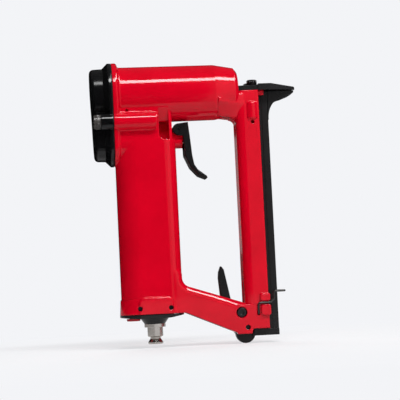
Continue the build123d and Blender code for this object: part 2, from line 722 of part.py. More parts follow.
# Head valve in the cap, its rubber face, its ring and its spring
head_ring_r = cap_bore_r - fit - ring_r
spring_r = head_r - 7.1
spring_half = 0.9
spring_seat = 2.4
with BuildPart() as head_valve:
    with BuildSketch(Plane.YZ.offset(head_rear_x)):
        with Locations((0, axis_z)):
            Circle(head_r)
    extrude(amount=head_front_x - head_rear_x)
    with BuildSketch(Plane.YZ.offset(head_rear_x + 2.0)):
        with Locations((0, axis_z)):
            Circle(head_r + 1)
            Circle(head_ring_r - ring_r - fit, mode=Mode.SUBTRACT)
    extrude(amount=2 * ring_r + 0.4, mode=Mode.SUBTRACT)
    with BuildSketch(Plane.YZ.offset(head_rear_x)):
        with Locations((0, axis_z)):
            Circle(spring_r + spring_half + 0.5)
            Circle(spring_r - spring_half - 0.5, mode=Mode.SUBTRACT)
    extrude(amount=spring_seat, mode=Mode.SUBTRACT)
head_valve.part.label = "head_valve"
export_step(head_valve.part, "parts/head_valve.step")

with BuildPart() as head_valve_face:
    with BuildSketch(Plane.YZ.offset(head_front_x)):
        with Locations((0, axis_z)):
            Circle(head_r - 0.4)
    extrude(amount=sleeve_rear_x - fit - head_front_x)
    fillet(head_valve_face.faces().sort_by(Axis.X)[-1].edges(), 0.5)
head_valve_face.part.label = "head_valve_face"
export_step(head_valve_face.part, "parts/head_valve_face.step")

with BuildPart() as head_valve_ring:
    with BuildSketch(Plane.XZ):
        with Locations((head_rear_x + 2.2 + ring_r, axis_z + head_ring_r)):
            Circle(ring_r)
    revolve(axis=drive_axis)
head_valve_ring.part.label = "head_valve_ring"
export_step(head_valve_ring.part, "parts/head_valve_ring.step")

with BuildPart() as head_valve_spring:
    with BuildSketch(Plane.YZ.offset(cap_floor_x)):
        with Locations((0, axis_z)):
            Circle(spring_r + spring_half)
            Circle(spring_r - spring_half, mode=Mode.SUBTRACT)
    extrude(amount=head_rear_x + spring_seat - cap_floor_x)
head_valve_spring.part.label = "head_valve_spring"
export_step(head_valve_spring.part, "parts/head_valve_spring.step")

# Trigger: a channel whose cheeks straddle the valve boss, solid finger blade below
web_t = 2.4
ear_r = 4.3
trigger_front = [
    (6.9, 5.1), (7.9, -5.1), (8.6, -13.8), (9.0, -18.9), (10.2, -25.5), (12.5, -29.2), (18.8, -34.1),
]
trigger_rear = [
    (19.3, -35.4), (18.7, -36.0), (13.0, -33.6), (7.5, -27.5), (3.6, -18.7), (3.5, -14.3), (2.8, -4.5),
]
web_rear = [(x - web_t, z) for x, z in trigger_front[:4]]
web_at_valve_x = pivot_x + web_rear[1][0] + 0.08 * (pivot_z - valve_z - 5.1)
with BuildPart() as trigger:
    with BuildSketch(Plane.XZ):
        with BuildLine():
            outline = [(0, ear_r)] + trigger_front + trigger_rear + [(0, -ear_r)]
            Polyline(*[(pivot_x + x, pivot_z + z) for x, z in outline], close=True)
        make_face()
        with Locations((pivot_x, pivot_z)):
            Circle(ear_r)
    extrude(amount=trigger_half, both=True)
    chamfer(trigger.faces().filter_by(Axis.Y).edges(), 0.6)
    with BuildSketch(Plane.XZ):
        with BuildLine():
            hollow = [(-12, 8), (web_rear[0][0] - 0.3, 8)] + web_rear + [(-12, -18.9)]
            Polyline(*[(pivot_x + x, pivot_z + z) for x, z in hollow], close=True)
        make_face()
    extrude(amount=trigger_in, both=True, mode=Mode.SUBTRACT)
    with Locations((pivot_x, 0, pivot_z)):
        Cylinder(pivot_pin_r + fit, 4 * trigger_half, rotation=(90, 0, 0), mode=Mode.SUBTRACT)
trigger.part.label = "trigger"
export_step(trigger.part, "parts/trigger.step")

with BuildPart() as trigger_pin:
    with Locations((pivot_x, 0, pivot_z)):
        Cylinder(pivot_pin_r, trigger_half + trigger_in + 0.2, rotation=(90, 0, 0))
trigger_pin.part.label = "trigger_pin"
export_step(trigger_pin.part, "parts/trigger_pin.step")

# Trigger valve: bush, stem, stem ring and spring
bush_x = valve_boss_x - 26
stem_r = 1.6
chamber_r = stem_r + 1.1
stem_ring_r = 0.5
collar_end_x = valve_boss_x - 8.4
stem_tip_x = web_at_valve_x - run
stem_rear_x = bush_x + 5.0 + stem_travel
valve_axis = Axis((0, 0, valve_z), (1, 0, 0))
with BuildPart() as valve_bush:
    with BuildSketch(Plane.YZ.offset(bush_x)):
        with Locations((0, valve_z)):
            Circle(bush_r)
    extrude(amount=valve_boss_x - 0.2 - bush_x)
    with BuildSketch(Plane.YZ.offset(bush_x)):
        with Locations((0, valve_z)):
            Circle(stem_r + run)
    extrude(amount=40, mode=Mode.SUBTRACT)
    with BuildSketch(Plane.YZ.offset(bush_x + 1.2)):
        with Locations((0, valve_z)):
            Circle(chamber_r)
    extrude(amount=collar_end_x + run - bush_x - 1.2, mode=Mode.SUBTRACT)
valve_bush.part.label = "valve_bush"
export_step(valve_bush.part, "parts/valve_bush.step")

with BuildPart() as valve_stem:
    with BuildSketch(Plane.YZ.offset(stem_rear_x)):
        with Locations((0, valve_z)):
            Circle(stem_r)
    extrude(amount=stem_tip_x - stem_rear_x)
    fillet(valve_stem.faces().sort_by(Axis.X)[-1].edges(), 0.9)
    with BuildSketch(Plane.YZ.offset(collar_end_x - 3.0)):
        with Locations((0, valve_z)):
            Circle(chamber_r - run)
    extrude(amount=3.0)
    with BuildSketch(Plane.YZ.offset(collar_end_x - 2.2)):
        with Locations((0, valve_z)):
            Circle(chamber_r)
            Circle(chamber_r - 2 * stem_ring_r - 2 * fit, mode=Mode.SUBTRACT)
    extrude(amount=2 * stem_ring_r + 0.4, mode=Mode.SUBTRACT)
valve_stem.part.label = "valve_stem"
export_step(valve_stem.part, "parts/valve_stem.step")

with BuildPart() as stem_ring:
    with BuildSketch(Plane.XZ):
        with Locations((collar_end_x - 2.0 + stem_ring_r, valve_z + chamber_r - fit - stem_ring_r)):
            Circle(stem_ring_r)
    revolve(axis=valve_axis)
stem_ring.part.label = "stem_ring"
export_step(stem_ring.part, "parts/stem_ring.step")

with BuildPart() as valve_spring:
    with BuildSketch(Plane.YZ.offset(bush_x + 1.2)):
        with Locations((0, valve_z)):
            Circle(chamber_r - 0.2)
            Circle(stem_r + 0.2, mode=Mode.SUBTRACT)
    extrude(amount=collar_end_x - 3.0 - bush_x - 1.2)
valve_spring.part.label = "valve_spring"
export_step(valve_spring.part, "parts/valve_spring.step")

# End plug with its ring, two cross pins and a push-in blanking plug
plug_low_z = grip_bottom_z - 2.9
nipple_seat_z = grip_bottom_z - 7.0
thread_r = 6.5
blank_r = 4.85
blank_x = grip_rear_x + blank_r + 3.2
blank_shank_r = 3.0
plug_axis = Axis.Z
with BuildPart() as end_plug:
    with BuildSketch(Plane.XY.offset(grip_bottom_z)):
        grip_outline(flare)
    extrude(amount=plug_low_z - grip_bottom_z)
    with BuildSketch(Plane.XZ):
        with BuildLine():
            Polyline(
                (grip_rear_x - 5, grip_bottom_z),
                (grip_front_x + 5, grip_bottom_z),
                (grip_front_x + 5, grip_bottom_z - 0.4),
                (grip_mid_x + 12, plug_low_z),
                (grip_mid_x - 12, plug_low_z),
                (grip_rear_x - 5, plug_low_z + 1.4),
                close=True,
            )
        make_face()
    extrude(amount=grip_w, both=True, mode=Mode.INTERSECT)
    with BuildSketch(Plane.XZ):
        with BuildLine():
            Polyline(
                (0, plug_low_z + 1),
                (10.2, plug_low_z + 1),
                (10.2, plug_low_z - 0.2),
                (thread_r + 0.9, nipple_seat_z),
                (0, nipple_seat_z),
                close=True,
            )
        make_face()
    revolve(axis=plug_axis)
    with Locations((0, 0, grip_bottom_z)):
        Cylinder(plug_r, 11.6, align=(Align.CENTER, Align.CENTER, Align.MIN))
    with BuildSketch(Plane.XY.offset(grip_bottom_z + 8.0)):
        Circle(plug_r + 1)
        Circle(plug_r - 2 * ring_r - fit, mode=Mode.SUBTRACT)
    extrude(amount=2 * ring_r + 0.4, mode=Mode.SUBTRACT)
    Cylinder(thread_r + fit, 200, mode=Mode.SUBTRACT)
    with Locations((-plug_pin_x, 0, plug_pin_z), (plug_pin_x, 0, plug_pin_z)):
        Cylinder(plug_pin_r + fit, 60, rotation=(90, 0, 0), mode=Mode.SUBTRACT)
    with Locations((blank_x, 0, plug_low_z - 1)):
        Cylinder(blank_shank_r, 3.0, align=(Align.CENTER, Align.CENTER, Align.MIN), mode=Mode.SUBTRACT)
end_plug.part.label = "end_plug"
export_step(end_plug.part, "parts/end_plug.step")

with BuildPart() as end_plug_ring:
    with BuildSketch(Plane.XZ):
        with Locations((plug_r - ring_r, grip_bottom_z + 8.2 + ring_r)):
            Circle(ring_r)
    revolve(axis=plug_axis)
end_plug_ring.part.label = "end_plug_ring"
export_step(end_plug_ring.part, "parts/end_plug_ring.step")

with BuildPart() as end_plug_pins:
    with Locations((-plug_pin_x, 0, plug_pin_z), (plug_pin_x, 0, plug_pin_z)):
        Cylinder(plug_pin_r, grip_w - 6, rotation=(90, 0, 0))
end_plug_pins.part.label = "end_plug_pins"
export_step(end_plug_pins.part, "parts/end_plug_pins.step")

with BuildPart() as blanking_plug:
    with Locations((blank_x, 0, plug_low_z)):
        Cylinder(blank_r, 1.7, align=(Align.CENTER, Align.CENTER, Align.MAX))
    fillet(blanking_plug.faces().sort_by(Axis.Z)[0].edges(), 0.6)
    with Locations((blank_x, 0, plug_low_z)):
        Cylinder(blank_shank_r - fit, 1.9, align=(Align.CENTER, Align.CENTER, Align.MIN))
blanking_plug.part.label = "blanking_plug"
export_step(blanking_plug.part, "parts/blanking_plug.step")

# Air nipple: thread, collar, body, catch groove and flared end, bored through
with BuildPart() as air_nipple:
    with BuildSketch(Plane.XZ):
        with BuildLine():
            Polyline(
                (2.6, nipple_seat_z + 10),
                (thread_r, nipple_seat_z + 10),
                (thread_r, nipple_seat_z),
                (7.5, nipple_seat_z),
                (7.5, nipple_seat_z - 2.4),
                (5.5, nipple_seat_z - 2.4),
                (5.5, 5.6),
                (3.75, 4.7),
                (3.75, 3.9),
                (5.4, 1.4),
                (5.4, 0.4),
                (5.0, 0.0),
                (2.6, 0.0),
                close=True,
            )
        make_face()
    revolve(axis=Axis.Z)
air_nipple.part.label = "air_nipple"
export_step(air_nipple.part, "parts/air_nipple.step")

# Nose plate: tang on the frame, wider beak beyond it, driver groove underneath
plate_x = barrel_front_x + 0.3
beak_x = frame_front_x + 0.2
beak_flat_x = beak_x + 8.4
with BuildPart() as nose_plate:
    with BuildSketch(Plane.XY.offset(plate_z)):
        with BuildLine():
            Polyline(
                (plate_x, -frame_w / 2 + 0.3),
                (beak_x, -frame_w / 2 + 0.3),
                (beak_x, -frame_w / 2 - 0.6),
                (beak_flat_x, -frame_w / 2 - 0.6),
                (nose_x, -mag_half - 0.7),
                (nose_x, mag_half + 0.7),
                (beak_flat_x, frame_w / 2 + 0.6),
                (beak_x, frame_w / 2 + 0.6),
                (beak_x, frame_w / 2 - 0.3),
                (plate_x, frame_w / 2 - 0.3),
                close=True,
            )
        make_face()
    extrude(amount=plate_t)
    with BuildSketch(Plane.XZ):
        with BuildLine():
            Polyline(
                (plate_x, plate_z),
                (plate_x, tang_top_z),
                (beak_x - 0.3, tang_top_z),
                (beak_x, plate_top_z),
                (beak_flat_x + 1.0, plate_top_z),
                (nose_x - 0.7, plate_z + 2.2),
                (nose_x, plate_z + 1.6),
                (nose_x, plate_z),
                close=True,
            )
        make_face()
    extrude(amount=frame_w, both=True, mode=Mode.INTERSECT)
    with Locations((plate_x - 1, 0, plate_z)):
        Box(80, 2 * groove_half, groove_h, align=(Align.MIN, Align.CENTER, Align.MIN), mode=Mode.SUBTRACT)
    with Locations((screw_x, screw_y, plate_z), (screw_x, -screw_y, plate_z)):
        Cylinder(plate_screw_r + run, 30, mode=Mode.SUBTRACT)
nose_plate.part.label = "nose_plate"
export_step(nose_plate.part, "parts/nose_plate.step")

with BuildPart() as nose_screws:
    with BuildSketch(Plane.XY.offset(tang_top_z)):
        with Locations((screw_x, screw_y), (screw_x, -screw_y)):
            Circle(plate_screw_r)
    extrude(amount=plate_z - tang_top_z - screw_depth)
    with BuildSketch(Plane.XY.offset(tang_top_z)):
        with Locations((screw_x, screw_y), (screw_x, -screw_y)):
            Circle(plate_screw_r * 1.75)
    extrude(amount=2 * plate_screw_r)
    chamfer(nose_screws.faces().sort_by(Axis.Z)[-2:].edges(), 0.35)
    with BuildSketch(Plane.XY.offset(tang_top_z + 2 * plate_screw_r)):
        with Locations((screw_x, screw_y), (screw_x, -screw_y)):
            RegularPolygon(plate_screw_r * 0.75, 6, major_radius=False)
    extrude(amount=-plate_screw_r, mode=Mode.SUBTRACT)
nose_screws.part.label = "nose_screws"
export_step(nose_screws.part, "parts/nose_screws.step")

# Steel strip behind the staple crowns
guide_t = 0.9
with BuildPart() as crown_guide:
    with Locations((floor_x, 0, latch_z + 24)):
        Box(guide_t, crown - 0.4, plate_z - 0.5 - latch_z - 24, align=(Align.MIN, Align.CENTER, Align.MIN))
crown_guide.part.label = "crown_guide"
export_step(crown_guide.part, "parts/crown_guide.step")

# Sliding magazine: channel, inner rail, nose and end bar with its pin
mag_len = mag_top_z - bar_top_z
tongue_h = 8.0
bar_pin_x = frame_front_x - 2.5
bar_pin_z = bar_top_z + tongue_h / 2
bar_pin_r = 1.25
with BuildPart() as magazine_channel:
    with BuildSketch(Plane.XY.offset(bar_top_z)):
        with Locations((mag_front_x, 0)):
            Rectangle(mag_front_x - floor_x - 1.0, 2 * mag_half, align=(Align.MAX, Align.CENTER))
        fillet(vertices().group_by(Axis.X)[-1], 0.9)
        with Locations((rail_front_x, 0)):
            Rectangle(40, 2 * groove_half, align=(Align.MAX, Align.CENTER), mode=Mode.SUBTRACT)
        with Locations((frame_front_x + 1.6, mag_half), (frame_front_x + 1.6, -mag_half)):
            Rectangle(2.8, 1.0, mode=Mode.SUBTRACT)
    extrude(amount=mag_len)
    with Locations((bar_pin_x, 0, bar_pin_z)):
        Cylinder(bar_pin_r + fit, 40, rotation=(90, 0, 0), mode=Mode.SUBTRACT)
magazine_channel.part.label = "magazine_channel"
export_step(magazine_channel.part, "parts/magazine_channel.step")

with BuildPart() as magazine_rail:
    with BuildSketch(Plane.XY.offset(bar_top_z + tongue_h)):
        with Locations((rail_front_x, 0)):
            Rectangle(rail_front_x - rail_x, 2 * rail_half, align=(Align.MAX, Align.CENTER))
        with Locations((rail_front_x - 1.0, 0)):
            Rectangle(rail_front_x - rail_x - 2.0, 2 * rail_half - 2.0,
                      align=(Align.MAX, Align.CENTER), mode=Mode.SUBTRACT)
        with Locations((rail_x, 0)):
            Rectangle(4, 2.4, mode=Mode.SUBTRACT)
    extrude(amount=mag_len - tongue_h - 0.6)
magazine_rail.part.label = "magazine_rail"
export_step(magazine_rail.part, "parts/magazine_rail.step")

with BuildPart() as magazine_nose:
    with BuildSketch(Plane.XZ):
        with BuildLine():
            Polyline(
                (mag_front_x, mag_top_z),
                (nose_x - 0.6, mag_top_z),
                (nose_x - 0.9, mag_top_z - 1.6),
                (nose_x - 3.8, mag_top_z - 3.4),
                (nose_x - 9.9, mag_top_z - 5.7),
            )
            Spline(
                (nose_x - 9.9, mag_top_z - 5.7),
                (mag_front_x + 4.2, mag_top_z - 8.6),
                (mag_front_x + 1.6, mag_top_z - 12.6),
                (mag_front_x + 0.3, mag_top_z - 20.4),
            )
            Polyline(
                (mag_front_x + 0.3, mag_top_z - 20.4),
                (mag_front_x, mag_top_z - 21.0),
                (mag_front_x, mag_top_z),
            )
        make_face()
    extrude(amount=mag_half, both=True)
magazine_nose.part.label = "magazine_nose"
export_step(magazine_nose.part, "parts/magazine_nose.step")

with BuildPart() as magazine_end_bar:
    with BuildSketch(Plane.XY.offset(bar_z)):
        with Locations((mag_front_x, 0)):
            Rectangle(mag_front_x - bar_x, 2 * bar_half, align=(Align.MAX, Align.CENTER))
        fillet(vertices(), 1.2)
        with Locations((bar_x - 1, 0)):
            Rectangle(rail_x - bar_x + 1, 2 * latch_gap + 0.2,
                      align=(Align.MIN, Align.CENTER), mode=Mode.SUBTRACT)
    extrude(amount=bar_top_z - bar_z)
    with Locations((rail_front_x, 0, bar_top_z)):
        Box(rail_front_x - rail_x, 2 * groove_half - 2 * fit, tongue_h,
            align=(Align.MAX, Align.CENTER, Align.MIN))
    with Locations((bar_pin_x, 0, bar_pin_z)):
        Cylinder(bar_pin_r + fit, 40, rotation=(90, 0, 0), mode=Mode.SUBTRACT)
magazine_end_bar.part.label = "magazine_end_bar"
export_step(magazine_end_bar.part, "parts/magazine_end_bar.step")

with BuildPart() as end_bar_pin:
    with Locations((bar_pin_x, 0, bar_pin_z)):
        Cylinder(bar_pin_r, 2 * mag_half - 0.2, rotation=(90, 0, 0))
end_bar_pin.part.label = "end_bar_pin"
export_step(end_bar_pin.part, "parts/end_bar_pin.step")

# Staple pusher astride the rail, and its spring inside the rail
pusher_top_z = mag_top_z - 1.2
pusher_len = 22.0
lug_z = pusher_top_z - 15.0
pusher_x = floor_x + guide_t + 0.4
with BuildPart() as pusher:
    with BuildSketch(Plane.XY.offset(pusher_top_z - pusher_len)):
        with Locations((pusher_x, 0)):
            Rectangle(rail_front_x - 0.6 - pusher_x, crown, align=(Align.MIN, Align.CENTER))
        with Locations((rail_x - 0.3, 0)):
            Rectangle(40, 2 * rail_half + 0.3, align=(Align.MIN, Align.CENTER), mode=Mode.SUBTRACT)
    extrude(amount=pusher_len)
    with Locations((rail_x - 0.5, 0, lug_z)):
        Box(2.0, 1.8, 8.0, align=(Align.MIN, Align.CENTER, Align.MIN))
    with Locations((rail_x + 1.4, 0, lug_z)):
        Box(6.2, 2 * rail_half - 2.6, 8.0, align=(Align.MIN, Align.CENTER, Align.MIN))
pusher.part.label = "pusher"
export_step(pusher.part, "parts/pusher.step")

with BuildPart() as pusher_spring:
    with BuildSketch(Plane.XY.offset(bar_top_z + tongue_h)):
        with Locations((rail_x + 4.4, 0)):
            Circle(rail_half - 1.4)
            Circle(rail_half - 2.0, mode=Mode.SUBTRACT)
    extrude(amount=lug_z - bar_top_z - tongue_h)
pusher_spring.part.label = "pusher_spring"
export_step(pusher_spring.part, "parts/pusher_spring.step")

# Latch lever: thumb tab above the arm, hub on the screw, round lobe in the end bar's slot
hub_r = 6.4
lobe_r = 7.0
notch_half = stop_r + run
stop_dist = math.hypot(stop_x - latch_x, stop_z - latch_z)
stop_deg = math.degrees(math.atan2(stop_z - latch_z, stop_x - latch_x))
lobe_x = rail_x - 0.4 - lobe_r
lobe_z = foot_z + 0.1
with BuildPart() as latch_lever:
    with BuildSketch(Plane.XZ):
        with Locations((latch_x, latch_z)):
            Circle(hub_r)
        with Locations((lobe_x, lobe_z)):
            Circle(lobe_r)
        make_hull()
        with BuildLine():
            tab = [(-4.0, -5.0), (-13.0, 8.0), (-13.6, 13.0), (-14.5, 25.1), (-14.1, 29.4), (-12.6, 33.4),
                   (-12.0, 33.4), (-10.3, 31.0), (-8.6, 22.0), (-6.4, 10.0), (3.0, 5.0)]
            Polyline(*[(latch_x + x, latch_z + z) for x, z in tab], close=True)
        make_face()
    extrude(amount=latch_half, both=True)
    chamfer(latch_lever.faces().filter_by(Axis.Y).edges(), 0.4)
    with BuildSketch(Plane.XZ):
        with BuildLine():
            notch_out = CenterArc((latch_x, latch_z), stop_dist + notch_half, stop_deg, 3 * latch_deg)
            notch_in = CenterArc((latch_x, latch_z), stop_dist - notch_half, stop_deg, 3 * latch_deg)
            Line(notch_out @ 0, notch_in @ 0)
            Line(notch_out @ 1, notch_in @ 1)
        make_face()
        with Locations((stop_x, stop_z)):
            Circle(notch_half)
    extrude(amount=latch_gap, both=True, mode=Mode.SUBTRACT)
    with Locations((latch_x, 0, latch_z)):
        Cylinder(latch_screw_r + 0.1, 40, rotation=(90, 0, 0), mode=Mode.SUBTRACT)
    with Locations((latch_x, -latch_half + 2.2, latch_z)):
        Cylinder(5.0, 10, rotation=(90, 0, 0),
                 align=(Align.CENTER, Align.CENTER, Align.MIN), mode=Mode.SUBTRACT)
latch_lever.part.label = "latch_lever"
export_step(latch_lever.part, "parts/latch_lever.step")

with BuildPart() as latch_spring:
    with BuildSketch(Plane.XZ.offset(latch_half - 1.9)):
        with Locations((latch_x, latch_z)):
            Circle(4.5)
            Circle(latch_screw_r + 0.4, mode=Mode.SUBTRACT)
    extrude(amount=1.9)
latch_spring.part.label = "latch_spring"
export_step(latch_spring.part, "parts/latch_spring.step")

with BuildPart() as latch_screw:
    with BuildSketch(Plane.XZ.offset(frame_w / 2 - latch_seat)):
        with Locations((latch_x, latch_z)):
            Circle(latch_screw_r)
    extrude(amount=latch_seat + 1.5 - frame_w)
    with BuildSketch(Plane.XZ.offset(frame_w / 2 - latch_seat)):
        with Locations((latch_x, latch_z)):
            Circle(latch_head_r)
    extrude(amount=2 * latch_screw_r)
    chamfer(latch_screw.faces().sort_by(Axis.Y)[0].edges(), 0.45)
    with BuildSketch(Plane.XZ.offset(frame_w / 2 - latch_seat + 2 * latch_screw_r)):
        with Locations((latch_x, latch_z)):
            RegularPolygon(latch_screw_r * 0.8, 6, major_radius=False)
    extrude(amount=-latch_screw_r, mode=Mode.SUBTRACT)
latch_screw.part.label = "latch_screw"
export_step(latch_screw.part, "parts/latch_screw.step")

with BuildPart() as latch_stop_pin:
    with Locations((stop_x, 0, stop_z)):
        Cylinder(stop_r, frame_w - 8, rotation=(90, 0, 0))
latch_stop_pin.part.label = "latch_stop_pin"
export_step(latch_stop_pin.part, "parts/latch_stop_pin.step")

# Keeper wire: hooked into the frame on both sides, led between the lugs and across the magazine's front
wire_y = frame_w / 2 + wire_r + 0.1
wire_lead_z = latch_z + 6.1
half_path = [
    (wire_x, slide_half + 2.0, wire_z),
    (wire_x, wire_y, wire_z),
    (wire_x, wire_y, wire_lead_z),
    (frame_front_x + 0.7, wire_y, wire_lead_z),
    (frame_front_x + 3.7, wire_y, wire_lead_z + 3.0),
    (frame_front_x + 3.7, wire_y, wire_bar_z),
    (mag_front_x + 4.2, wire_y, wire_bar_z),
]
path = [Vector(x, -y, z) for x, y, z in half_path] + [Vector(*point) for point in reversed(half_path)]
bend_r = 1.6
with BuildPart() as keeper_wire:
    with BuildLine():
        start = path[0]
        for before, corner, after in zip(path, path[1:], path[2:]):
            into = (corner - before).normalized()
            out = (after - corner).normalized()
            cut = bend_r * math.tan(math.radians(into.get_angle(out)) / 2)
            Line(start, corner - into * cut)
            TangentArc(corner - into * cut, corner + out * cut, tangent=into)
            start = corner + out * cut
        Line(start, path[-1])
    with BuildSketch(Plane(path[0], z_dir=(path[1] - path[0]).normalized())):
        Circle(wire_r)
    sweep()
keeper_wire.part.label = "keeper_wire"
export_step(keeper_wire.part, "parts/keeper_wire.step")
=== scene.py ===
"""Looks, stage and camera of the pneumatic stapler, laid out as an add-on and run as a script."""
import math

import bmesh
import bpy
from bpy.props import FloatProperty, FloatVectorProperty, IntProperty, PointerProperty
from mathutils import Matrix, Vector


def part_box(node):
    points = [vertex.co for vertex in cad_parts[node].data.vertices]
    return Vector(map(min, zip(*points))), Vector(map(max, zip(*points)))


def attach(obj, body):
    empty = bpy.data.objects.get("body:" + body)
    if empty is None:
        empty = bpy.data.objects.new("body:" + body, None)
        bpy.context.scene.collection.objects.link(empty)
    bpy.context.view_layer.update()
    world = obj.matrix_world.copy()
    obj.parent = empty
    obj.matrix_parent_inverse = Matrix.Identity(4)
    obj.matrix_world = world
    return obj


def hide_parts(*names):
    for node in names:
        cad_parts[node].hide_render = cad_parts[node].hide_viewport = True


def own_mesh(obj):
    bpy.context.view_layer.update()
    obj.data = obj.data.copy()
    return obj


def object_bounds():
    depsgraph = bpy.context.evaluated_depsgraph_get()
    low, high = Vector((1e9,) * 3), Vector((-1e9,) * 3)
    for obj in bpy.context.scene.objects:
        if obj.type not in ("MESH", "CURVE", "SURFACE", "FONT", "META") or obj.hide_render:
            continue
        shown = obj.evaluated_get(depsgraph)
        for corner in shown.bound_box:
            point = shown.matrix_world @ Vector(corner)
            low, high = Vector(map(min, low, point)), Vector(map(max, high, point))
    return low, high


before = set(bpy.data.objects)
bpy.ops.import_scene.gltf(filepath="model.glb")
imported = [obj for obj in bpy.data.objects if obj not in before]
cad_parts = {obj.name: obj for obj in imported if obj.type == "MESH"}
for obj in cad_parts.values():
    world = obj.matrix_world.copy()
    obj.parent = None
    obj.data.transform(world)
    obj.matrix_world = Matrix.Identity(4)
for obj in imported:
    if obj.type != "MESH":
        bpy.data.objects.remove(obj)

bl_info = {
    "name": "Pneumatic stapler",
    "version": (1, 0, 0),
    "blender": (4, 5, 0),
    "location": "3D View > Sidebar > Stapler",
    "description": "Finishes, small pieces, stage and camera for the pneumatic stapler",
    "category": "Object",
}

cad_low, cad_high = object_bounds()
millimetre = 0.001
dust_colour = (0.42, 0.41, 0.39, 1.0)
ambient_colour = (1.0, 0.99, 0.98, 1.0)
floor_colour = (0.8, 0.8, 0.81, 1.0)
# near black base of the sheets that paint dark or glowing reflections
reflection_sheet_colour = (0.004, 0.004, 0.004, 1.0)


def screen_colour(red, green, blue):
    """Scene colour of a screen colour given as three numbers from 0 to 255."""
    def straight(part):
        part /= 255
        return part / 12.92 if part <= 0.04045 else ((part + 0.055) / 1.055) ** 2.4
    return (straight(red), straight(green), straight(blue), 1.0)


def colour_field(label, note, red, green, blue):
    """A colour that the user can change, with its default as a screen colour."""
    return FloatVectorProperty(
        name=label, description=note, subtype="COLOR", size=4, min=0, max=1,
        default=screen_colour(red, green, blue),
    )


def length_field(label, note, size):
    """A length that the user can change, with its default in millimetres."""
    return FloatProperty(name=label, description=note, default=size * millimetre, min=0, unit="LENGTH", precision=5)


def angle_field(label, note, degrees):
    """An angle that the user can change, with its default in degrees."""
    return FloatProperty(name=label, description=note, default=math.radians(degrees), subtype="ANGLE")


def power_field(label, note, watts):
    """A lamp's power that the user can change."""
    return FloatProperty(name=label, description=note, default=watts, unit="POWER")


def turns_field(label, note, turns):
    """A spring's number of turns that the user can change."""
    return FloatProperty(name=label, description=note, default=turns)


class StaplerFinish(bpy.types.PropertyGroup):
    """Colours and edge rounds of the stapler's finishes."""
    enamel: colour_field("Red enamel", "Gloss enamel of the housing", 207, 3, 32)
    enamel_deep: colour_field("Deep enamel", "Enamel where it lies a little thicker", 191, 2, 27)
    cap_black: colour_field("Cap enamel", "Black enamel of the rear cap and the end plug", 15, 15, 16)
    oxide: colour_field("Black oxide", "Blackened steel of trigger, magazine and latch", 20, 19, 20)
    screw_steel: colour_field("Screw steel", "Blackened steel of the smaller socket screws", 54, 52, 52)
    phosphate: colour_field("Phosphate", "Phosphated steel of the cap screws", 74, 70, 68)
    worn: colour_field("Worn edge", "Steel showing through at a worn edge", 92, 90, 90)
    steel: colour_field("Bright steel", "Turned steel of nipple and pins", 196, 190, 184)
    tool_steel: colour_field("Tool steel", "Ground steel of blade, rail and pusher", 158, 158, 162)
    spring_steel: colour_field("Spring steel", "Drawn wire of the keeper and the springs", 72, 70, 69)
    aluminium: colour_field("Aluminium", "Machined aluminium of sleeve and piston", 206, 206, 210)
    rubber: colour_field("Rubber", "Seals and bumper", 24, 24, 24)
    brass: colour_field("Brass", "Bush of the trigger valve", 196, 158, 92)
    plug_red: colour_field("Plug red", "Plastic of the blanking plug", 186, 10, 28)
    enamel_round: length_field("Enamel edge", "Radius that the enamel gives to an edge", 1.0)
    steel_round: length_field("Steel edge", "Radius of a broken steel edge", 0.25)


class StaplerSmallPieces(bpy.types.PropertyGroup):
    """Sizes of the neck shoulders, the knurls and the coil springs."""
    shoulder_rear: length_field("Shoulder rear", "Rear end of a neck shoulder along X", 8.0)
    shoulder_front: length_field("Shoulder front", "Front end of a neck shoulder along X", 15.6)
    shoulder_root: length_field("Shoulder root", "Distance of its root from the middle", 5.0)
    shoulder_low: length_field("Shoulder edge", "Distance of its lower edge from the middle", 11.4)
    shoulder_out: length_field("Shoulder face", "Distance of its face's upper edge from the middle", 17.0)
    shoulder_foot: length_field("Shoulder foot", "Height of its underside", 157.4)
    shoulder_bend: length_field("Shoulder bend", "Height at which its face goes into the barrel", 167.6)
    shoulder_top: length_field("Shoulder top", "Height of its top inside the barrel", 169.0)
    shoulder_round: length_field("Shoulder round", "Size of the round along its lower edge", 1.2)
    knurl_count: IntProperty(name="Knurls", description="Ribs round a screw head", default=40, min=8, max=90)
    knurl_radius: length_field("Knurl radius", "Radius of one rib on a screw head", 0.2)
    pusher_wire: length_field("Pusher wire", "Wire radius of the pusher spring", 0.28)
    head_wire: length_field("Head valve wire", "Wire radius of the head valve spring", 0.5)
    valve_wire: length_field("Valve wire", "Wire radius of the trigger valve spring", 0.3)
    latch_wire: length_field("Latch wire", "Wire radius of the latch spring", 0.45)
    pusher_turns: turns_field("Pusher turns", "Turns of the pusher spring", 62)
    head_turns: turns_field("Head valve turns", "Turns of the head valve spring", 3.5)
    valve_turns: turns_field("Valve turns", "Turns of the trigger valve spring", 9)
    latch_turns: turns_field("Latch turns", "Turns of the latch spring", 1.8)


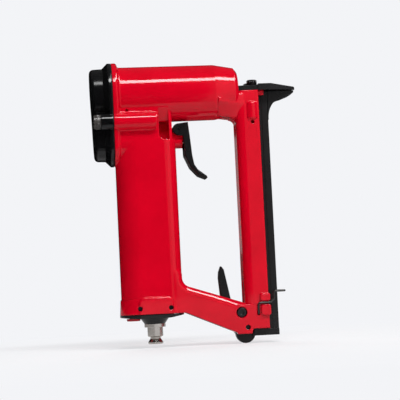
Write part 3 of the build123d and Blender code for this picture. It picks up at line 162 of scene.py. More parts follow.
class StaplerStage(bpy.types.PropertyGroup):
    """Backdrop, light and camera."""
    backdrop: colour_field("Backdrop", "Colour behind the stapler", 243, 244, 247)
    ambient: FloatProperty(name="Ambient", description="Even light from all round", default=0.15, min=0)
    key_power: power_field("Strip light", "Long lamp above the front", 18.0)
    side_power: power_field("Side light", "Upright lamp at the nose side", 0.8)
    fill_power: power_field("Fill light", "Broad lamp beside the camera", 6.0)
    back_power: power_field("Back light", "Long lamp above the far side", 13.0)
    azimuth: angle_field("Azimuth", "Camera's turn round the stapler", -5.8)
    elevation: angle_field("Elevation", "Camera's height as an angle", -3.5)
    roll: angle_field("Roll", "Camera's turn about its own view", 2.8)
    lens: FloatProperty(name="Lens", description="Focal length on a 36 mm sensor", default=126.0, unit="CAMERA")
    distance: FloatProperty(name="Distance", description="Camera to the aimed point", default=1.008, unit="LENGTH")
    aim: FloatVectorProperty(name="Aim", description="Point in the picture's middle", size=3,
                             default=(0.0366, 0.0, 0.1013), subtype="XYZ", unit="LENGTH")


def put(tree, kind, inputs=None, **settings):
    """Adds a node, sets its options and fills or links its inputs."""
    made = tree.nodes.new(kind)
    for name, value in settings.items():
        setattr(made, name, value)
    for name, value in (inputs or {}).items():
        if isinstance(value, bpy.types.NodeSocket):
            tree.links.new(value, made.inputs[name])
        else:
            made.inputs[name].default_value = value
    return made


def math_of(tree, operation, first, second=0.0):
    """Output of a math node."""
    return put(tree, "ShaderNodeMath", {0: first, 1: second}, operation=operation).outputs[0]


def spread_of(tree, value, low, high, to_low=0.0, to_high=1.0):
    """Output of a clamped map from one range to another."""
    made = put(tree, "ShaderNodeMapRange", {0: value, 1: low, 2: high, 3: to_low, 4: to_high}, clamp=True)
    return made.outputs[0]


def noise_of(tree, place, scale, detail, roughness=0.5, distortion=0.0):
    """Output of a noise texture."""
    made = put(tree, "ShaderNodeTexNoise", {"Vector": place, "Scale": scale, "Detail": detail,
                                            "Roughness": roughness, "Distortion": distortion})
    return made.outputs[0]


def colour_between(tree, share, first, second):
    """Output of a colour mix."""
    made = put(tree, "ShaderNodeMix", {0: share, 6: first, 7: second}, data_type="RGBA", clamp_factor=True)
    return made.outputs[2]


def new_group(kind, name, inputs, outputs):
    """An empty node group with named sockets, some of its inputs with a default."""
    tree = bpy.data.node_groups.new(name, kind)
    for label, socket_kind, *default in inputs:
        socket = tree.interface.new_socket(label, in_out="INPUT", socket_type=socket_kind)
        if default:
            socket.default_value = default[0]
    for label, socket_kind in outputs:
        tree.interface.new_socket(label, in_out="OUTPUT", socket_type=socket_kind)
    return tree, tree.nodes.new("NodeGroupInput").outputs, tree.nodes.new("NodeGroupOutput").inputs


def make_edge_wear():
    """Mask of the edges where a finish is rubbed through, broken up by noise."""
    flat, turned = 0.985, 0.86  # likeness of the plain and the rounded normal, off an edge and on it
    whole, rubbed = 0.42, 0.66  # noise where the finish holds, and where it is gone
    tree, given, made = new_group(
        "ShaderNodeTree", "edge wear",
        [("Vector", "NodeSocketVector"), ("Radius", "NodeSocketFloat", 0.0004),
         ("Scale", "NodeSocketFloat", 300.0), ("Amount", "NodeSocketFloat", 0.5)],
        [("Mask", "NodeSocketFloat")],
    )
    rounded = put(tree, "ShaderNodeBevel", {"Radius": given["Radius"]}, samples=6)
    facing = put(tree, "ShaderNodeNewGeometry")
    alike = put(tree, "ShaderNodeVectorMath", {0: rounded.outputs[0], 1: facing.outputs["Normal"]},
                operation="DOT_PRODUCT").outputs["Value"]
    edge = spread_of(tree, alike, flat, turned)
    noise = noise_of(tree, given["Vector"], given["Scale"], detail=5.0, roughness=0.65)
    broken = spread_of(tree, noise, whole, rubbed)
    mask = math_of(tree, "MULTIPLY", math_of(tree, "MULTIPLY", edge, broken), given["Amount"])
    tree.links.new(mask, made["Mask"])
    return tree


def make_grain():
    """Height of a fine skin with a few deeper pits, and a slow shade over the piece."""
    pit_share, shade_share = 0.7, 0.04  # scale of the pits and of the slow shade against the skin's
    pit_edge, pit_floor = 0.24, 0.08  # distance from a cell's middle where a pit starts, and where it is deepest
    light, deep = 0.3, 0.7  # noise where the slow shade starts, and where it is full
    tree, given, made = new_group(
        "ShaderNodeTree", "surface grain",
        [("Vector", "NodeSocketVector"), ("Scale", "NodeSocketFloat", 900.0), ("Pits", "NodeSocketFloat", 0.0)],
        [("Height", "NodeSocketFloat"), ("Shade", "NodeSocketFloat")],
    )
    skin = noise_of(tree, given["Vector"], given["Scale"], detail=3.0)
    cell_scale = math_of(tree, "MULTIPLY", given["Scale"], pit_share)
    cells = put(tree, "ShaderNodeTexVoronoi", {"Vector": given["Vector"], "Scale": cell_scale}).outputs[0]
    pit = math_of(tree, "MULTIPLY", spread_of(tree, cells, pit_edge, pit_floor), given["Pits"])
    tree.links.new(math_of(tree, "SUBTRACT", skin, pit), made["Height"])
    slow_scale = math_of(tree, "MULTIPLY", given["Scale"], shade_share)
    slow = noise_of(tree, given["Vector"], slow_scale, detail=4.0, roughness=0.6)
    tree.links.new(spread_of(tree, slow, light, deep), made["Shade"])
    return tree


def make_handling():
    """Smudges from hands, and a trace of dust on what faces up."""
    clean, smudged = 0.36, 0.66  # noise where a smudge starts, and where it is full
    sloped, level = 0.45, 0.95  # upward part of the normal where dust starts to lie, and where it lies fully
    bare, dusty = 0.52, 0.72  # noise where a speck of dust starts, and where it is full
    speck_share = 14.0  # scale of the specks against the smudges'
    tree, given, made = new_group(
        "ShaderNodeTree", "handling marks",
        [("Vector", "NodeSocketVector"), ("Scale", "NodeSocketFloat", 60.0)],
        [("Smudge", "NodeSocketFloat"), ("Dust", "NodeSocketFloat")],
    )
    wide = noise_of(tree, given["Vector"], given["Scale"], detail=6.0, roughness=0.62, distortion=0.6)
    tree.links.new(spread_of(tree, wide, clean, smudged), made["Smudge"])
    facing = put(tree, "ShaderNodeNewGeometry").outputs["Normal"]
    upward = put(tree, "ShaderNodeSeparateXYZ", {0: facing}).outputs["Z"]
    speck_scale = math_of(tree, "MULTIPLY", given["Scale"], speck_share)
    specks = noise_of(tree, given["Vector"], speck_scale, detail=2.0)
    dust = math_of(tree, "MULTIPLY", spread_of(tree, upward, sloped, level), spread_of(tree, specks, bare, dusty))
    tree.links.new(dust, made["Dust"])
    return tree


shared_effects = {}


def effect(tree, name, **values):
    """Places one of the shared node groups in a material."""
    makers = {"edge wear": make_edge_wear, "surface grain": make_grain, "handling marks": make_handling}
    if name not in shared_effects:
        shared_effects[name] = makers[name]()
    return put(tree, "ShaderNodeGroup", values, node_tree=shared_effects[name]).outputs


def lines_along(tree, place, axis, scale, depth):
    """Height of fine lines across an axis, as a lathe or a grinding wheel leaves them."""
    drawn_out = 0.04  # scale along the lines against the scale across them
    stretch = [1.0 if way == axis else drawn_out for way in "XYZ"]
    mapped = put(tree, "ShaderNodeMapping", {"Vector": place, "Scale": stretch}).outputs[0]
    noise = noise_of(tree, mapped, scale, detail=4.0, roughness=0.7)
    return math_of(tree, "MULTIPLY", noise, depth)


def finish_material(name, colour, deeper, roughness, grain, bump, edge_round, dust, metallic=0.0, specular=0.5,
                    pits=0.0, depth=0.00003, lines=None, worn=None, wear=0.0):
    """A painted, blackened, turned or moulded finish with its own skin, smudges, edge wear and dust."""
    wear_reach = 1.3  # radius in which an edge wears against the radius of its round
    material = bpy.data.materials.new(name)
    material.use_nodes = True
    tree = material.node_tree
    tree.nodes.clear()
    place = put(tree, "ShaderNodeTexCoord").outputs["Object"]
    skin = effect(tree, "surface grain", Vector=place, Scale=grain, Pits=pits)
    marks = effect(tree, "handling marks", Vector=place)
    shaded = colour_between(tree, skin["Shade"], colour, deeper)
    rough = spread_of(tree, marks["Smudge"], 0.0, 1.0, *roughness)
    if worn is not None:
        rubbed = effect(tree, "edge wear", Vector=place, Radius=edge_round * wear_reach, Amount=wear)["Mask"]
        shaded = colour_between(tree, rubbed, shaded, worn)
    settled = math_of(tree, "MULTIPLY", marks["Dust"], dust)
    shaded = colour_between(tree, settled, shaded, dust_colour)
    height = skin["Height"]
    if lines is not None:
        height = math_of(tree, "ADD", height, lines_along(tree, place, *lines))
    rounded = put(tree, "ShaderNodeBevel", {"Radius": edge_round}, samples=8).outputs[0]
    relief = put(tree, "ShaderNodeBump", {"Strength": bump, "Distance": depth, "Height": height,
                                          "Normal": rounded}).outputs[0]
    shader = put(tree, "ShaderNodeBsdfPrincipled", {
        "Base Color": shaded, "Roughness": rough, "Metallic": metallic, "Specular IOR Level": specular,
        "Normal": relief,
    })
    put(tree, "ShaderNodeOutputMaterial", {"Surface": shader.outputs[0]})
    return material


def finish_recipes(look):
    """What finish_material is given for each finish. Lines are an axis, a scale and a depth."""
    enamel_edge, steel_edge = look.enamel_round, look.steel_round
    bare = dict(metallic=1.0, edge_round=steel_edge, dust=0.0)
    return {
        "red enamel": dict(
            colour=look.enamel, deeper=look.enamel_deep, roughness=(0.07, 0.11), specular=0.24,
            grain=700.0, bump=0.16, edge_round=enamel_edge, dust=0.02,
        ),
        "black enamel": dict(
            colour=look.cap_black, deeper=screen_colour(11, 11, 12), roughness=(0.1, 0.17), specular=0.3,
            grain=1400.0, pits=0.1, bump=0.08, depth=0.00004, edge_round=enamel_edge, dust=0.03,
            worn=look.worn, wear=0.1,
        ),
        "black oxide": dict(
            colour=look.oxide, deeper=screen_colour(14, 14, 15), roughness=(0.27, 0.38), specular=0.24,
            grain=2200.0, pits=0.2, bump=0.16, edge_round=steel_edge, dust=0.03, worn=look.worn, wear=0.18,
        ),
        "screw steel": dict(
            colour=look.screw_steel, deeper=screen_colour(44, 42, 42), roughness=(0.24, 0.34), metallic=1.0,
            grain=2200.0, bump=0.16, edge_round=steel_edge, dust=0.02,
        ),
        "phosphated steel": dict(
            colour=look.phosphate, deeper=screen_colour(60, 57, 56), roughness=(0.24, 0.34), specular=0.8,
            grain=2200.0, bump=0.16, edge_round=steel_edge, dust=0.0,
        ),
        "turned steel": dict(
            bare, colour=look.steel, deeper=screen_colour(172, 167, 162), roughness=(0.2, 0.32),
            grain=1600.0, bump=0.35, lines=("Z", 2600.0, 1.2),
        ),
        "drawn steel": dict(
            bare, colour=look.steel, deeper=screen_colour(160, 157, 154), roughness=(0.22, 0.36),
            grain=1600.0, bump=0.3, lines=("Y", 2600.0, 0.8),
        ),
        "ground steel": dict(
            bare, colour=look.tool_steel, deeper=screen_colour(138, 138, 142), roughness=(0.26, 0.42),
            grain=2400.0, bump=0.3, lines=("X", 1800.0, 1.0),
        ),
        "spring wire": dict(
            colour=look.spring_steel, deeper=screen_colour(58, 57, 56), roughness=(0.28, 0.42), metallic=1.0,
            grain=2600.0, bump=0.2, depth=0.00002, edge_round=steel_edge, dust=0.05,
        ),
        "machined aluminium": dict(
            bare, colour=look.aluminium, deeper=screen_colour(188, 188, 193), roughness=(0.28, 0.4),
            grain=1800.0, bump=0.3, lines=("X", 2200.0, 1.0),
        ),
        "seal rubber": dict(
            colour=look.rubber, deeper=screen_colour(31, 31, 31), roughness=(0.55, 0.7), specular=0.3,
            grain=1500.0, pits=0.15, bump=0.3, depth=0.00004, edge_round=enamel_edge, dust=0.2,
        ),
        "valve brass": dict(
            bare, colour=look.brass, deeper=screen_colour(176, 138, 74), roughness=(0.24, 0.36),
            grain=1800.0, bump=0.3, lines=("X", 2400.0, 1.0),
        ),
        "red plastic": dict(
            colour=look.plug_red, deeper=screen_colour(170, 8, 24), roughness=(0.24, 0.36), specular=0.4,
            grain=1300.0, bump=0.2, edge_round=steel_edge, dust=0.02,
        ),
    }


made_finishes = {}


def finish_of(name):
    """One of the stapler's finishes, made the first time that it is asked for."""
    if name not in made_finishes:
        made_finishes[name] = finish_material(name, **finish_recipes(bpy.context.scene.stapler_finish)[name])
    return made_finishes[name]


def paint_nodes(finish, *names):
    """Gives CAD nodes one of the finishes."""
    for name in names:
        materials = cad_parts[name].data.materials
        materials.clear()
        materials.append(finish_of(finish))


class FinishHousing(bpy.types.Operator):
    """Gives the cast housing its gloss red enamel."""
    bl_idname = "stapler.finish_housing"
    bl_label = "Finish housing"

    def execute(self, context):
        paint_nodes("red enamel", "main_housing")
        return {"FINISHED"}


class BuildNeckShoulders(bpy.types.Operator):
    """Closes the top of the pocket on each side of the neck with a shoulder that leans in below the barrel."""
    bl_idname = "stapler.build_neck_shoulders"
    bl_label = "Build neck shoulders"

    def execute(self, context):
        sizes = context.scene.stapler_small
        root, out = sizes.shoulder_root, sizes.shoulder_out
        foot, top = sizes.shoulder_foot, sizes.shoulder_top
        round_steps = (0, 0.25, 0.5, 0.75, 1)
        sharp_angle = math.radians(20)  # keeps the face's bend of 29 degrees sharp, and the round's steps smooth
        corner = Vector((sizes.shoulder_low, foot))
        upper = Vector((out, sizes.shoulder_bend))
        before = corner - Vector((sizes.shoulder_round, 0))
        after = corner + sizes.shoulder_round * (upper - corner).normalized()
        rounded = [before.lerp(corner, share).lerp(corner.lerp(after, share), share) for share in round_steps]
        profile = [(root, foot), *rounded, upper, (out, top), (root, top)]
        shape = bmesh.new()
        for side in (1, -1):
            ends = [[shape.verts.new((x, side * y, z)) for y, z in profile]
                    for x in (sizes.shoulder_rear, sizes.shoulder_front)]
            for end in ends:
                shape.faces.new(end)
            for place in range(len(profile)):
                following = (place + 1) % len(profile)
                shape.faces.new((ends[0][place], ends[0][following], ends[1][following], ends[1][place]))
        bmesh.ops.recalc_face_normals(shape, faces=shape.faces)
        mesh = bpy.data.meshes.new("neck_shoulders")
        shape.to_mesh(mesh)
        shape.free()
        mesh.shade_smooth()
        mesh.set_sharp_from_angle(angle=sharp_angle)
        mesh.materials.append(finish_of("red enamel"))
        piece = bpy.data.objects.new("neck_shoulders", mesh)
        context.scene.collection.objects.link(piece)
        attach(piece, "housing")
        return {"FINISHED"}


class FinishCastings(bpy.types.Operator):
    """Gives the rear cap and the end plug their black enamel, and the blanking plug its plastic."""
    bl_idname = "stapler.finish_castings"
    bl_label = "Finish cap and end plug"

    def execute(self, context):
        paint_nodes("black enamel", "rear_cap", "end_plug")
        paint_nodes("red plastic", "blanking_plug")
        return {"FINISHED"}


class FinishBlackSteel(bpy.types.Operator):
    """Gives trigger, nose plate, magazine, latch and pins their black oxide, and the screws their own dark steel."""
    bl_idname = "stapler.finish_black_steel"
    bl_label = "Finish black steel"

    def execute(self, context):
        paint_nodes("black oxide", "trigger", "nose_plate", "magazine_channel", "magazine_nose", "magazine_end_bar",
                    "latch_lever", "end_plug_pins", "trigger_pin", "latch_stop_pin")
        paint_nodes("screw steel", "nose_screws", "latch_screw")
        paint_nodes("phosphated steel", "cap_screws")
        return {"FINISHED"}


class FinishBareMetal(bpy.types.Operator):
    """Gives nipple, pins, guides, keeper wire, springs, sleeve, piston and bush their bare metal."""
    bl_idname = "stapler.finish_bare_metal"
    bl_label = "Finish bare metal"

    def execute(self, context):
        paint_nodes("turned steel", "air_nipple")
        paint_nodes("drawn steel", "driver_pin", "end_bar_pin", "valve_stem")
        paint_nodes("ground steel", "driver_blade", "driver_guide", "crown_guide", "magazine_rail", "pusher")
        paint_nodes("spring wire", "keeper_wire", "head_valve_spring", "valve_spring", "pusher_spring",
                    "latch_spring")
        paint_nodes("machined aluminium", "cylinder_sleeve", "piston", "head_valve")
        paint_nodes("valve brass", "valve_bush")
        return {"FINISHED"}


class FinishSeals(bpy.types.Operator):
    """Gives gasket, rings and bumper their rubber."""
    bl_idname = "stapler.finish_seals"
    bl_label = "Finish seals"

    def execute(self, context):
        paint_nodes("seal rubber", "cap_gasket", "sleeve_seals", "piston_ring", "piston_bumper", "head_valve_face",
                    "head_valve_ring", "stem_ring", "end_plug_ring")
        return {"FINISHED"}


def end_tree(tree, shape, material, made):
    """Ends a geometry tree: real faces, smooth, with their finish."""
    real = put(tree, "GeometryNodeRealizeInstances", {"Geometry": shape}).outputs[0]
    smooth = put(tree, "GeometryNodeSetShadeSmooth", {"Geometry": real}).outputs[0]
    done = put(tree, "GeometryNodeSetMaterial", {"Geometry": smooth, "Material": material}).outputs[0]
    tree.links.new(done, made["Geometry"])


def make_knurl_tree():
    """Ribs round each screw head: the host mesh has one point at the foot of each head."""
    rib_corners = 6
    geometry = ("Geometry", "NodeSocketGeometry")
    tree, given, made = new_group("GeometryNodeTree", "screw head knurls", [
        geometry, ("Ribs", "NodeSocketInt"), ("Head radius", "NodeSocketFloat"), ("Rib radius", "NodeSocketFloat"),
        ("Rib length", "NodeSocketFloat"), ("Turn", "NodeSocketRotation"), ("Finish", "NodeSocketMaterial"),
    ], [geometry])
    ring = put(tree, "GeometryNodeMeshCircle", {"Vertices": given["Ribs"],
                                                "Radius": given["Head radius"]}).outputs[0]
    rib = put(tree, "GeometryNodeMeshCylinder", {"Vertices": rib_corners, "Radius": given["Rib radius"],
                                                 "Depth": given["Rib length"]}).outputs["Mesh"]
    half = math_of(tree, "MULTIPLY", given["Rib length"], 0.5)
    lift = put(tree, "ShaderNodeCombineXYZ", {"Z": half}).outputs[0]
    raised = put(tree, "GeometryNodeTransform", {"Geometry": rib, "Translation": lift}).outputs[0]
    head = put(tree, "GeometryNodeInstanceOnPoints", {"Points": ring, "Instance": raised}).outputs[0]
    heads = put(tree, "GeometryNodeInstanceOnPoints", {"Points": given["Geometry"], "Instance": head,
                                                       "Rotation": given["Turn"]}).outputs[0]
    end_tree(tree, heads, given["Finish"], made)
    return tree


def make_coil_tree():
    """A wound wire that starts at the host mesh's point and rises along the turned Z axis."""
    wire_corners = 8
    geometry = ("Geometry", "NodeSocketGeometry")
    tree, given, made = new_group("GeometryNodeTree", "coil spring", [
        geometry, ("Turns", "NodeSocketFloat"), ("Coil radius", "NodeSocketFloat"),
        ("Wire radius", "NodeSocketFloat"), ("Length", "NodeSocketFloat"), ("Steps", "NodeSocketInt"),
        ("Turn", "NodeSocketRotation"), ("Finish", "NodeSocketMaterial"),
    ], [geometry])
    path = put(tree, "GeometryNodeCurveSpiral", {
        "Resolution": given["Steps"], "Rotations": given["Turns"], "Start Radius": given["Coil radius"],
        "End Radius": given["Coil radius"], "Height": given["Length"],
    }).outputs[0]
    section = put(tree, "GeometryNodeCurvePrimitiveCircle", {"Resolution": wire_corners,
                                                             "Radius": given["Wire radius"]}).outputs[0]
    wire = put(tree, "GeometryNodeCurveToMesh", {"Curve": path, "Profile Curve": section,
                                                 "Fill Caps": True}).outputs[0]
    placed = put(tree, "GeometryNodeInstanceOnPoints", {"Points": given["Geometry"], "Instance": wire,
                                                        "Rotation": given["Turn"]}).outputs[0]
    end_tree(tree, placed, given["Finish"], made)
    return tree


def grow_piece(name, points, tree, values):
    """Runs a geometry tree on points and leaves its result as a plain mesh at the origin."""
    host_mesh = bpy.data.meshes.new(name + " points")
    host_mesh.from_pydata([tuple(point) for point in points], [], [])
    host = bpy.data.objects.new(name + " host", host_mesh)
    bpy.context.scene.collection.objects.link(host)
    modifier = host.modifiers.new("shape", "NODES")
    modifier.node_group = tree
    for item in tree.interface.items_tree:
        if item.in_out == "INPUT" and item.name in values:
            modifier[item.identifier] = values[item.name]
    bpy.context.view_layer.update()
    shown = host.evaluated_get(bpy.context.evaluated_depsgraph_get())
    mesh = bpy.data.meshes.new_from_object(shown)
    if not len(mesh.polygons):
        raise RuntimeError(name + " came out empty")
    bpy.data.objects.remove(host)
    bpy.data.meshes.remove(host_mesh)
    mesh.name = name
    piece = bpy.data.objects.new(name, mesh)
    bpy.context.scene.collection.objects.link(piece)
    return piece


class KnurlScrewHeads(bpy.types.Operator):
    """Adds the knurled ribs to the heads of the cap screws and the nose plate screws."""
    bl_idname = "stapler.knurl_screw_heads"
    bl_label = "Knurl screw heads"

    def execute(self, context):
        sizes = context.scene.stapler_small
        tree = make_knurl_tree()
        cap_rim, cap_rib = 0.15, 0.85  # plain rim and rib length on a cap screw, in head radii
        nose_foot, nose_rib = 1.12, 1.0  # foot of the ribs below the top and their length on a nose screw
        nose_share = 0.75  # ribs on a nose screw against those on a cap screw
        low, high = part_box("cap_screws")
        radius = (high.z - low.z) / 2
        middle = (high.z + low.z) / 2
        feet = [(low.x + cap_rim * radius, side * (high.y - radius), middle) for side in (1, -1)]
        knurls = grow_piece("cap_screw_knurls", feet, tree, {
            "Ribs": sizes.knurl_count, "Head radius": radius, "Rib radius": sizes.knurl_radius,
            "Rib length": cap_rib * radius, "Turn": (0.0, math.pi / 2, 0.0),
            "Finish": finish_of("phosphated steel"),
        })
        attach(knurls, "housing")
        low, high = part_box("nose_screws")
        radius = (high.x - low.x) / 2
        foot_z = high.z - nose_foot * radius
        feet = [((low.x + high.x) / 2, side * (high.y - radius), foot_z) for side in (1, -1)]
        knurls = grow_piece("nose_screw_knurls", feet, tree, {
            "Ribs": int(sizes.knurl_count * nose_share), "Head radius": radius, "Rib radius": sizes.knurl_radius,
            "Rib length": nose_rib * radius, "Turn": (0.0, 0.0, 0.0), "Finish": finish_of("screw steel"),
        })
        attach(knurls, "housing")
        return {"FINISHED"}


class WindSprings(bpy.types.Operator):
    """Winds the coil springs in place of the plain tubes that hold their room."""
    bl_idname = "stapler.wind_springs"
    bl_label = "Wind springs"

    def execute(self, context):
        sizes = context.scene.stapler_small
        tree = make_coil_tree()
        steps_per_turn = 18
        turn_to = {"X": (0.0, math.pi / 2, 0.0), "Y": (-math.pi / 2, 0.0, 0.0), "Z": (0.0, 0.0, 0.0)}
        springs = (
            ("pusher_spring", "Z", sizes.pusher_wire, sizes.pusher_turns, "magazine", "pusher_slide"),
            ("head_valve_spring", "X", sizes.head_wire, sizes.head_turns, "housing", "head_valve_lift"),
            ("valve_spring", "X", sizes.valve_wire, sizes.valve_turns, "housing", "valve_stem_slide"),
            ("latch_spring", "Y", sizes.latch_wire, sizes.latch_turns, "housing", None),
        )
        for node, axis, wire, turns, body, joint in springs:
            low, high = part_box(node)
            way = "XYZ".index(axis)
            across = (way + 1) % 3
            start = (low + high) / 2
            start[way] = low[way] + wire
            length = high[way] - low[way] - 2 * wire
            radius = (high[across] - low[across]) / 2 - wire
            coil = grow_piece(node + "_coil", [start], tree, {
                "Turns": turns, "Coil radius": radius, "Wire radius": wire, "Length": length,
                "Steps": steps_per_turn, "Turn": turn_to[axis], "Finish": finish_of("spring wire"),
            })
            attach(coil, body)
            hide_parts(node)
            if joint:
                direction = Vector((0, 0, 0))
                direction[way] = 1
                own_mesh(coil)
        return {"FINISHED"}


def seen_or_mirrored(tree):
    """1 for camera, glossy and transmission rays, which show the backdrop's own colour."""
    path = put(tree, "ShaderNodeLightPath").outputs
    seen = math_of(tree, "MAXIMUM", path["Is Camera Ray"], path["Is Glossy Ray"])
    return math_of(tree, "MAXIMUM", seen, path["Is Transmission Ray"])


def build_world(stage):
    """Even light from all round, and the backdrop's colour where the world is seen or mirrored."""
    world = bpy.data.worlds.new("studio")
    world.use_nodes = True
    tree = world.node_tree
    tree.nodes.clear()
    even = put(tree, "ShaderNodeBackground", {"Color": ambient_colour, "Strength": stage.ambient})
    shown = put(tree, "ShaderNodeBackground", {"Color": tuple(stage.backdrop), "Strength": 1.0})
    both = put(tree, "ShaderNodeMixShader", {0: seen_or_mirrored(tree), 1: even.outputs[0], 2: shown.outputs[0]})
    put(tree, "ShaderNodeOutputWorld", {"Surface": both.outputs[0]})
    bpy.context.scene.world = world


def lay_floor(stage):
    """A round pale floor that takes a faint shadow near the stapler and goes over into the backdrop."""
    floor_radius, corners = 6.0, 64
    near, far = 0.1, 0.36  # distance where the floor starts to go over, and where it looks like the backdrop
    near_share = 0.6  # the backdrop's share in the floor's look at the stapler
    floor_mesh = bpy.data.meshes.new("floor")
    turns = [2 * math.pi * step / corners for step in range(corners)]
    rim = [(floor_radius * math.cos(turn), floor_radius * math.sin(turn), cad_low.z) for turn in turns]
    floor_mesh.from_pydata(rim, [], [tuple(range(corners))])
    floor = bpy.data.objects.new("floor", floor_mesh)
    bpy.context.scene.collection.objects.link(floor)
    cover = bpy.data.materials.new("pale floor")
    cover.use_nodes = True
    tree = cover.node_tree
    tree.nodes.clear()
    place = put(tree, "ShaderNodeTexCoord").outputs["Object"]
    centred = put(tree, "ShaderNodeMapping", {"Vector": place, "Location": (-stage.aim[0], 0, 0),
                                              "Scale": (1, 1, 0)}).outputs[0]
    away = put(tree, "ShaderNodeVectorMath", {0: centred}, operation="LENGTH").outputs["Value"]
    plain = spread_of(tree, away, near, far, near_share, 1.0)
    matt = put(tree, "ShaderNodeBsdfDiffuse", {"Color": floor_colour})
    bright = put(tree, "ShaderNodeEmission", {"Color": tuple(stage.backdrop), "Strength": 1.0})
    share = math_of(tree, "MULTIPLY", seen_or_mirrored(tree), plain)
    both = put(tree, "ShaderNodeMixShader", {0: share, 1: matt.outputs[0], 2: bright.outputs[0]})
    put(tree, "ShaderNodeOutputMaterial", {"Surface": both.outputs[0]})
    floor_mesh.materials.append(cover)


def add_lamp(name, place, aim, width, height, power):
    """A soft rectangular lamp that faces a point. The gloss doesn't mirror it."""
    data = bpy.data.lights.new(name, "AREA")
    data.shape = "RECTANGLE"
    data.size = width
    data.size_y = height
    data.energy = power
    lamp = bpy.data.objects.new(name, data)
    bpy.context.scene.collection.objects.link(lamp)
    lamp.location = place
    lamp.rotation_euler = (aim - place).to_track_quat("-Z", "Y").to_euler()
    lamp.visible_glossy = False


def hang_lamps(stage):
    """The four lamps, each with its place as seen from the aimed point, its width, its height and its power."""
    aim = Vector(stage.aim)
    lamps = (
        ("strip_light", (0.25, -0.78, 1.05), 1.1, 0.16, stage.key_power),
        ("side_light", (1.15, -0.35, 0.25), 0.3, 0.9, stage.side_power),
        ("back_light", (-0.1, 1.2, 0.7), 1.1, 0.6, stage.back_power),
        ("fill_light", (1.0, -1.5, 0.6), 1.2, 1.2, stage.fill_power),
    )
    for name, offset, width, height, power in lamps:
        add_lamp(name, aim + Vector(offset), aim, width, height, power)


def add_flag(name, middle_x, profile, first, last, shade):
    """A sheet round the stage, from one azimuth to another. It shows only in what the gloss mirrors, where it paints
    a reflection that glows with the given shade: dark at 0, grey or bright above it.
    """
    widest_step = 6  # degrees
    mesh = bpy.data.meshes.new(name)
    count = max(1, round(abs(last - first) / widest_step))
    corners = []
    for step in range(count + 1):
        turn = math.radians(first + (last - first) * step / count)
        corners += [(middle_x + radius * math.sin(turn), -radius * math.cos(turn), height)
                    for radius, height in profile]
    rows = len(profile)
    faces = [(step * rows + row, (step + 1) * rows + row, (step + 1) * rows + row + 1, step * rows + row + 1)
             for step in range(count) for row in range(rows - 1)]
    mesh.from_pydata(corners, [], faces)
    flag = bpy.data.objects.new(name, mesh)
    bpy.context.scene.collection.objects.link(flag)
    painted_reflection = bpy.data.materials.new(name + " cloth")
    painted_reflection.use_nodes = True
    shader = painted_reflection.node_tree.nodes["Principled BSDF"]
    shader.inputs["Base Color"].default_value = reflection_sheet_colour
    shader.inputs["Specular IOR Level"].default_value = 0.0
    # The glow is the brightness of the painted reflection.
    shader.inputs["Emission Color"].default_value = (1.0, 1.0, 1.0, 1.0)
    shader.inputs["Emission Strength"].default_value = shade
    mesh.materials.append(painted_reflection)
    flag.visible_camera = False
    flag.visible_diffuse = False
    flag.visible_shadow = False
    flag.visible_transmission = False


def hang_flags(stage):
    """The sheets that paint reflections, each with its profile as radii and heights, its first and last azimuth in
    degrees and its shade, the strength of its glow.
    """
    far, wall_top = 1.75, 1.6
    low_edge, grey_edge = 0.1, 0.33  # heights where the rear cloths meet
    wall = [(0.16, 0.03), (far, wall_top)]
    skirting = [(0.13, 0.001), (0.16, 0.03)]
    # radius and height of the long edges of the glowing sheets that paint the strip lamp's highlight
    strip_edges = [(0.714, 1.234), (0.926, 1.068)]
    flags = (
        # the left, right and back sheets paint dark reflections; the grey ones, the skirtings, the roof and the low
        # back sheet paint dim glowing ones
        ("left_flag", wall, -166, 8.3, 0.0),
        ("grey_flag", wall, 8.3, 29, 0.5),
        ("right_flag", wall, 60, 166, 0.0),
        ("back_flag", [(far, grey_edge), (far, wall_top)], 166, 194, 0.0),
        ("back_grey_flag", [(far, low_edge), (far, grey_edge)], 166, 194, 0.3),
        ("back_low_flag", [(0.085, 0.0008), (far, 0.0008), (far, low_edge)], 150, 210, 0.06),
        ("roof_flag", [(far, wall_top), (0.9, 2.3), (0.0, 2.5)], 0, 360, 0.08),
        # strip_end and strip_face glow where the strip lamp hangs and paint its highlight into the gloss in place of
        # the lamp's own reflection, dimmer at the left end
        ("strip_end", strip_edges, -21, -3, 11.0),
        ("strip_face", strip_edges, -3, 92, 31.0),
        ("left_skirting", skirting, -150, -25, 0.42),
        ("right_skirting", skirting, 55, 150, 0.42),
        # shadow_flag glows at a set level under the stapler and paints the floor that the undersides mirror: a
        # painted shadow seen only in reflections
        ("shadow_flag", [(0.08, 0.0005), (0.0, 0.0005)], 0, 360, 0.75),
    )
    for name, profile, first, last, shade in flags:
        add_flag(name, stage.aim[0], profile, first, last, shade)


def aim_camera(stage):
    """The camera at its distance from the aimed point, turned, raised and rolled."""
    turn, rise, roll = stage.azimuth, stage.elevation, stage.roll
    back = Vector((math.sin(turn) * math.cos(rise), -math.cos(turn) * math.cos(rise), math.sin(rise)))
    right = Vector((math.cos(turn), math.sin(turn), 0))
    up = back.cross(right)
    right_rolled = math.cos(roll) * right - math.sin(roll) * up
    up_rolled = math.sin(roll) * right + math.cos(roll) * up
    data = bpy.data.cameras.new("camera")
    data.sensor_fit = "HORIZONTAL"
    data.sensor_width = 36
    data.lens = stage.lens
    data.clip_start = 0.01
    data.clip_end = 50
    camera = bpy.data.objects.new("camera", data)
    bpy.context.scene.collection.objects.link(camera)
    turned = Matrix((right_rolled, up_rolled, back)).transposed().to_4x4()
    camera.matrix_world = Matrix.Translation(Vector(stage.aim) + back * stage.distance) @ turned
    bpy.context.scene.camera = camera


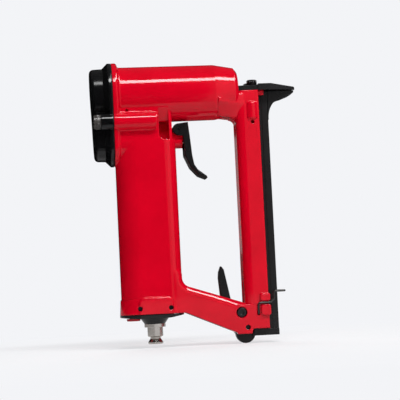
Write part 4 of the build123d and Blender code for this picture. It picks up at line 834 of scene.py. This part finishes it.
class BuildStage(bpy.types.Operator):
    """Builds the backdrop, the pale floor, the soft lamps, the sheets that paint reflections and the camera."""
    bl_idname = "stapler.build_stage"
    bl_label = "Build stage"

    def execute(self, context):
        stage = context.scene.stapler_stage
        build_world(stage)
        lay_floor(stage)
        hang_lamps(stage)
        hang_flags(stage)
        aim_camera(stage)
        context.scene.view_settings.view_transform = "Standard"
        return {"FINISHED"}


class StaplerPanel(bpy.types.Panel):
    """Lists the stapler's operators and their values."""
    bl_idname = "VIEW3D_PT_stapler"
    bl_label = "Stapler"
    bl_space_type = "VIEW_3D"
    bl_region_type = "UI"
    bl_category = "Stapler"

    def draw(self, context):
        for step in steps:
            self.layout.operator(step.bl_idname)
        for values in (context.scene.stapler_finish, context.scene.stapler_small, context.scene.stapler_stage):
            box = self.layout.box()
            for field in values.bl_rna.properties:
                if field.identifier not in ("name", "rna_type"):
                    box.prop(values, field.identifier)


steps = (
    FinishHousing, BuildNeckShoulders, FinishCastings, FinishBlackSteel, FinishBareMetal, FinishSeals,
    KnurlScrewHeads, WindSprings, BuildStage,
)
classes = (StaplerFinish, StaplerSmallPieces, StaplerStage) + steps + (StaplerPanel,)


def register():
    for cls in classes:
        bpy.utils.register_class(cls)
    bpy.types.Scene.stapler_finish = PointerProperty(type=StaplerFinish)
    bpy.types.Scene.stapler_small = PointerProperty(type=StaplerSmallPieces)
    bpy.types.Scene.stapler_stage = PointerProperty(type=StaplerStage)


def unregister():
    del bpy.types.Scene.stapler_stage
    del bpy.types.Scene.stapler_small
    del bpy.types.Scene.stapler_finish
    for cls in reversed(classes):
        bpy.utils.unregister_class(cls)


def main():
    register()
    bpy.ops.stapler.finish_housing()
    bpy.ops.stapler.build_neck_shoulders()
    bpy.ops.stapler.finish_castings()
    bpy.ops.stapler.finish_black_steel()
    bpy.ops.stapler.finish_bare_metal()
    bpy.ops.stapler.finish_seals()
    bpy.ops.stapler.knurl_screw_heads()
    bpy.ops.stapler.wind_springs()
    bpy.ops.stapler.build_stage()


if __name__ == "__main__":
    main()
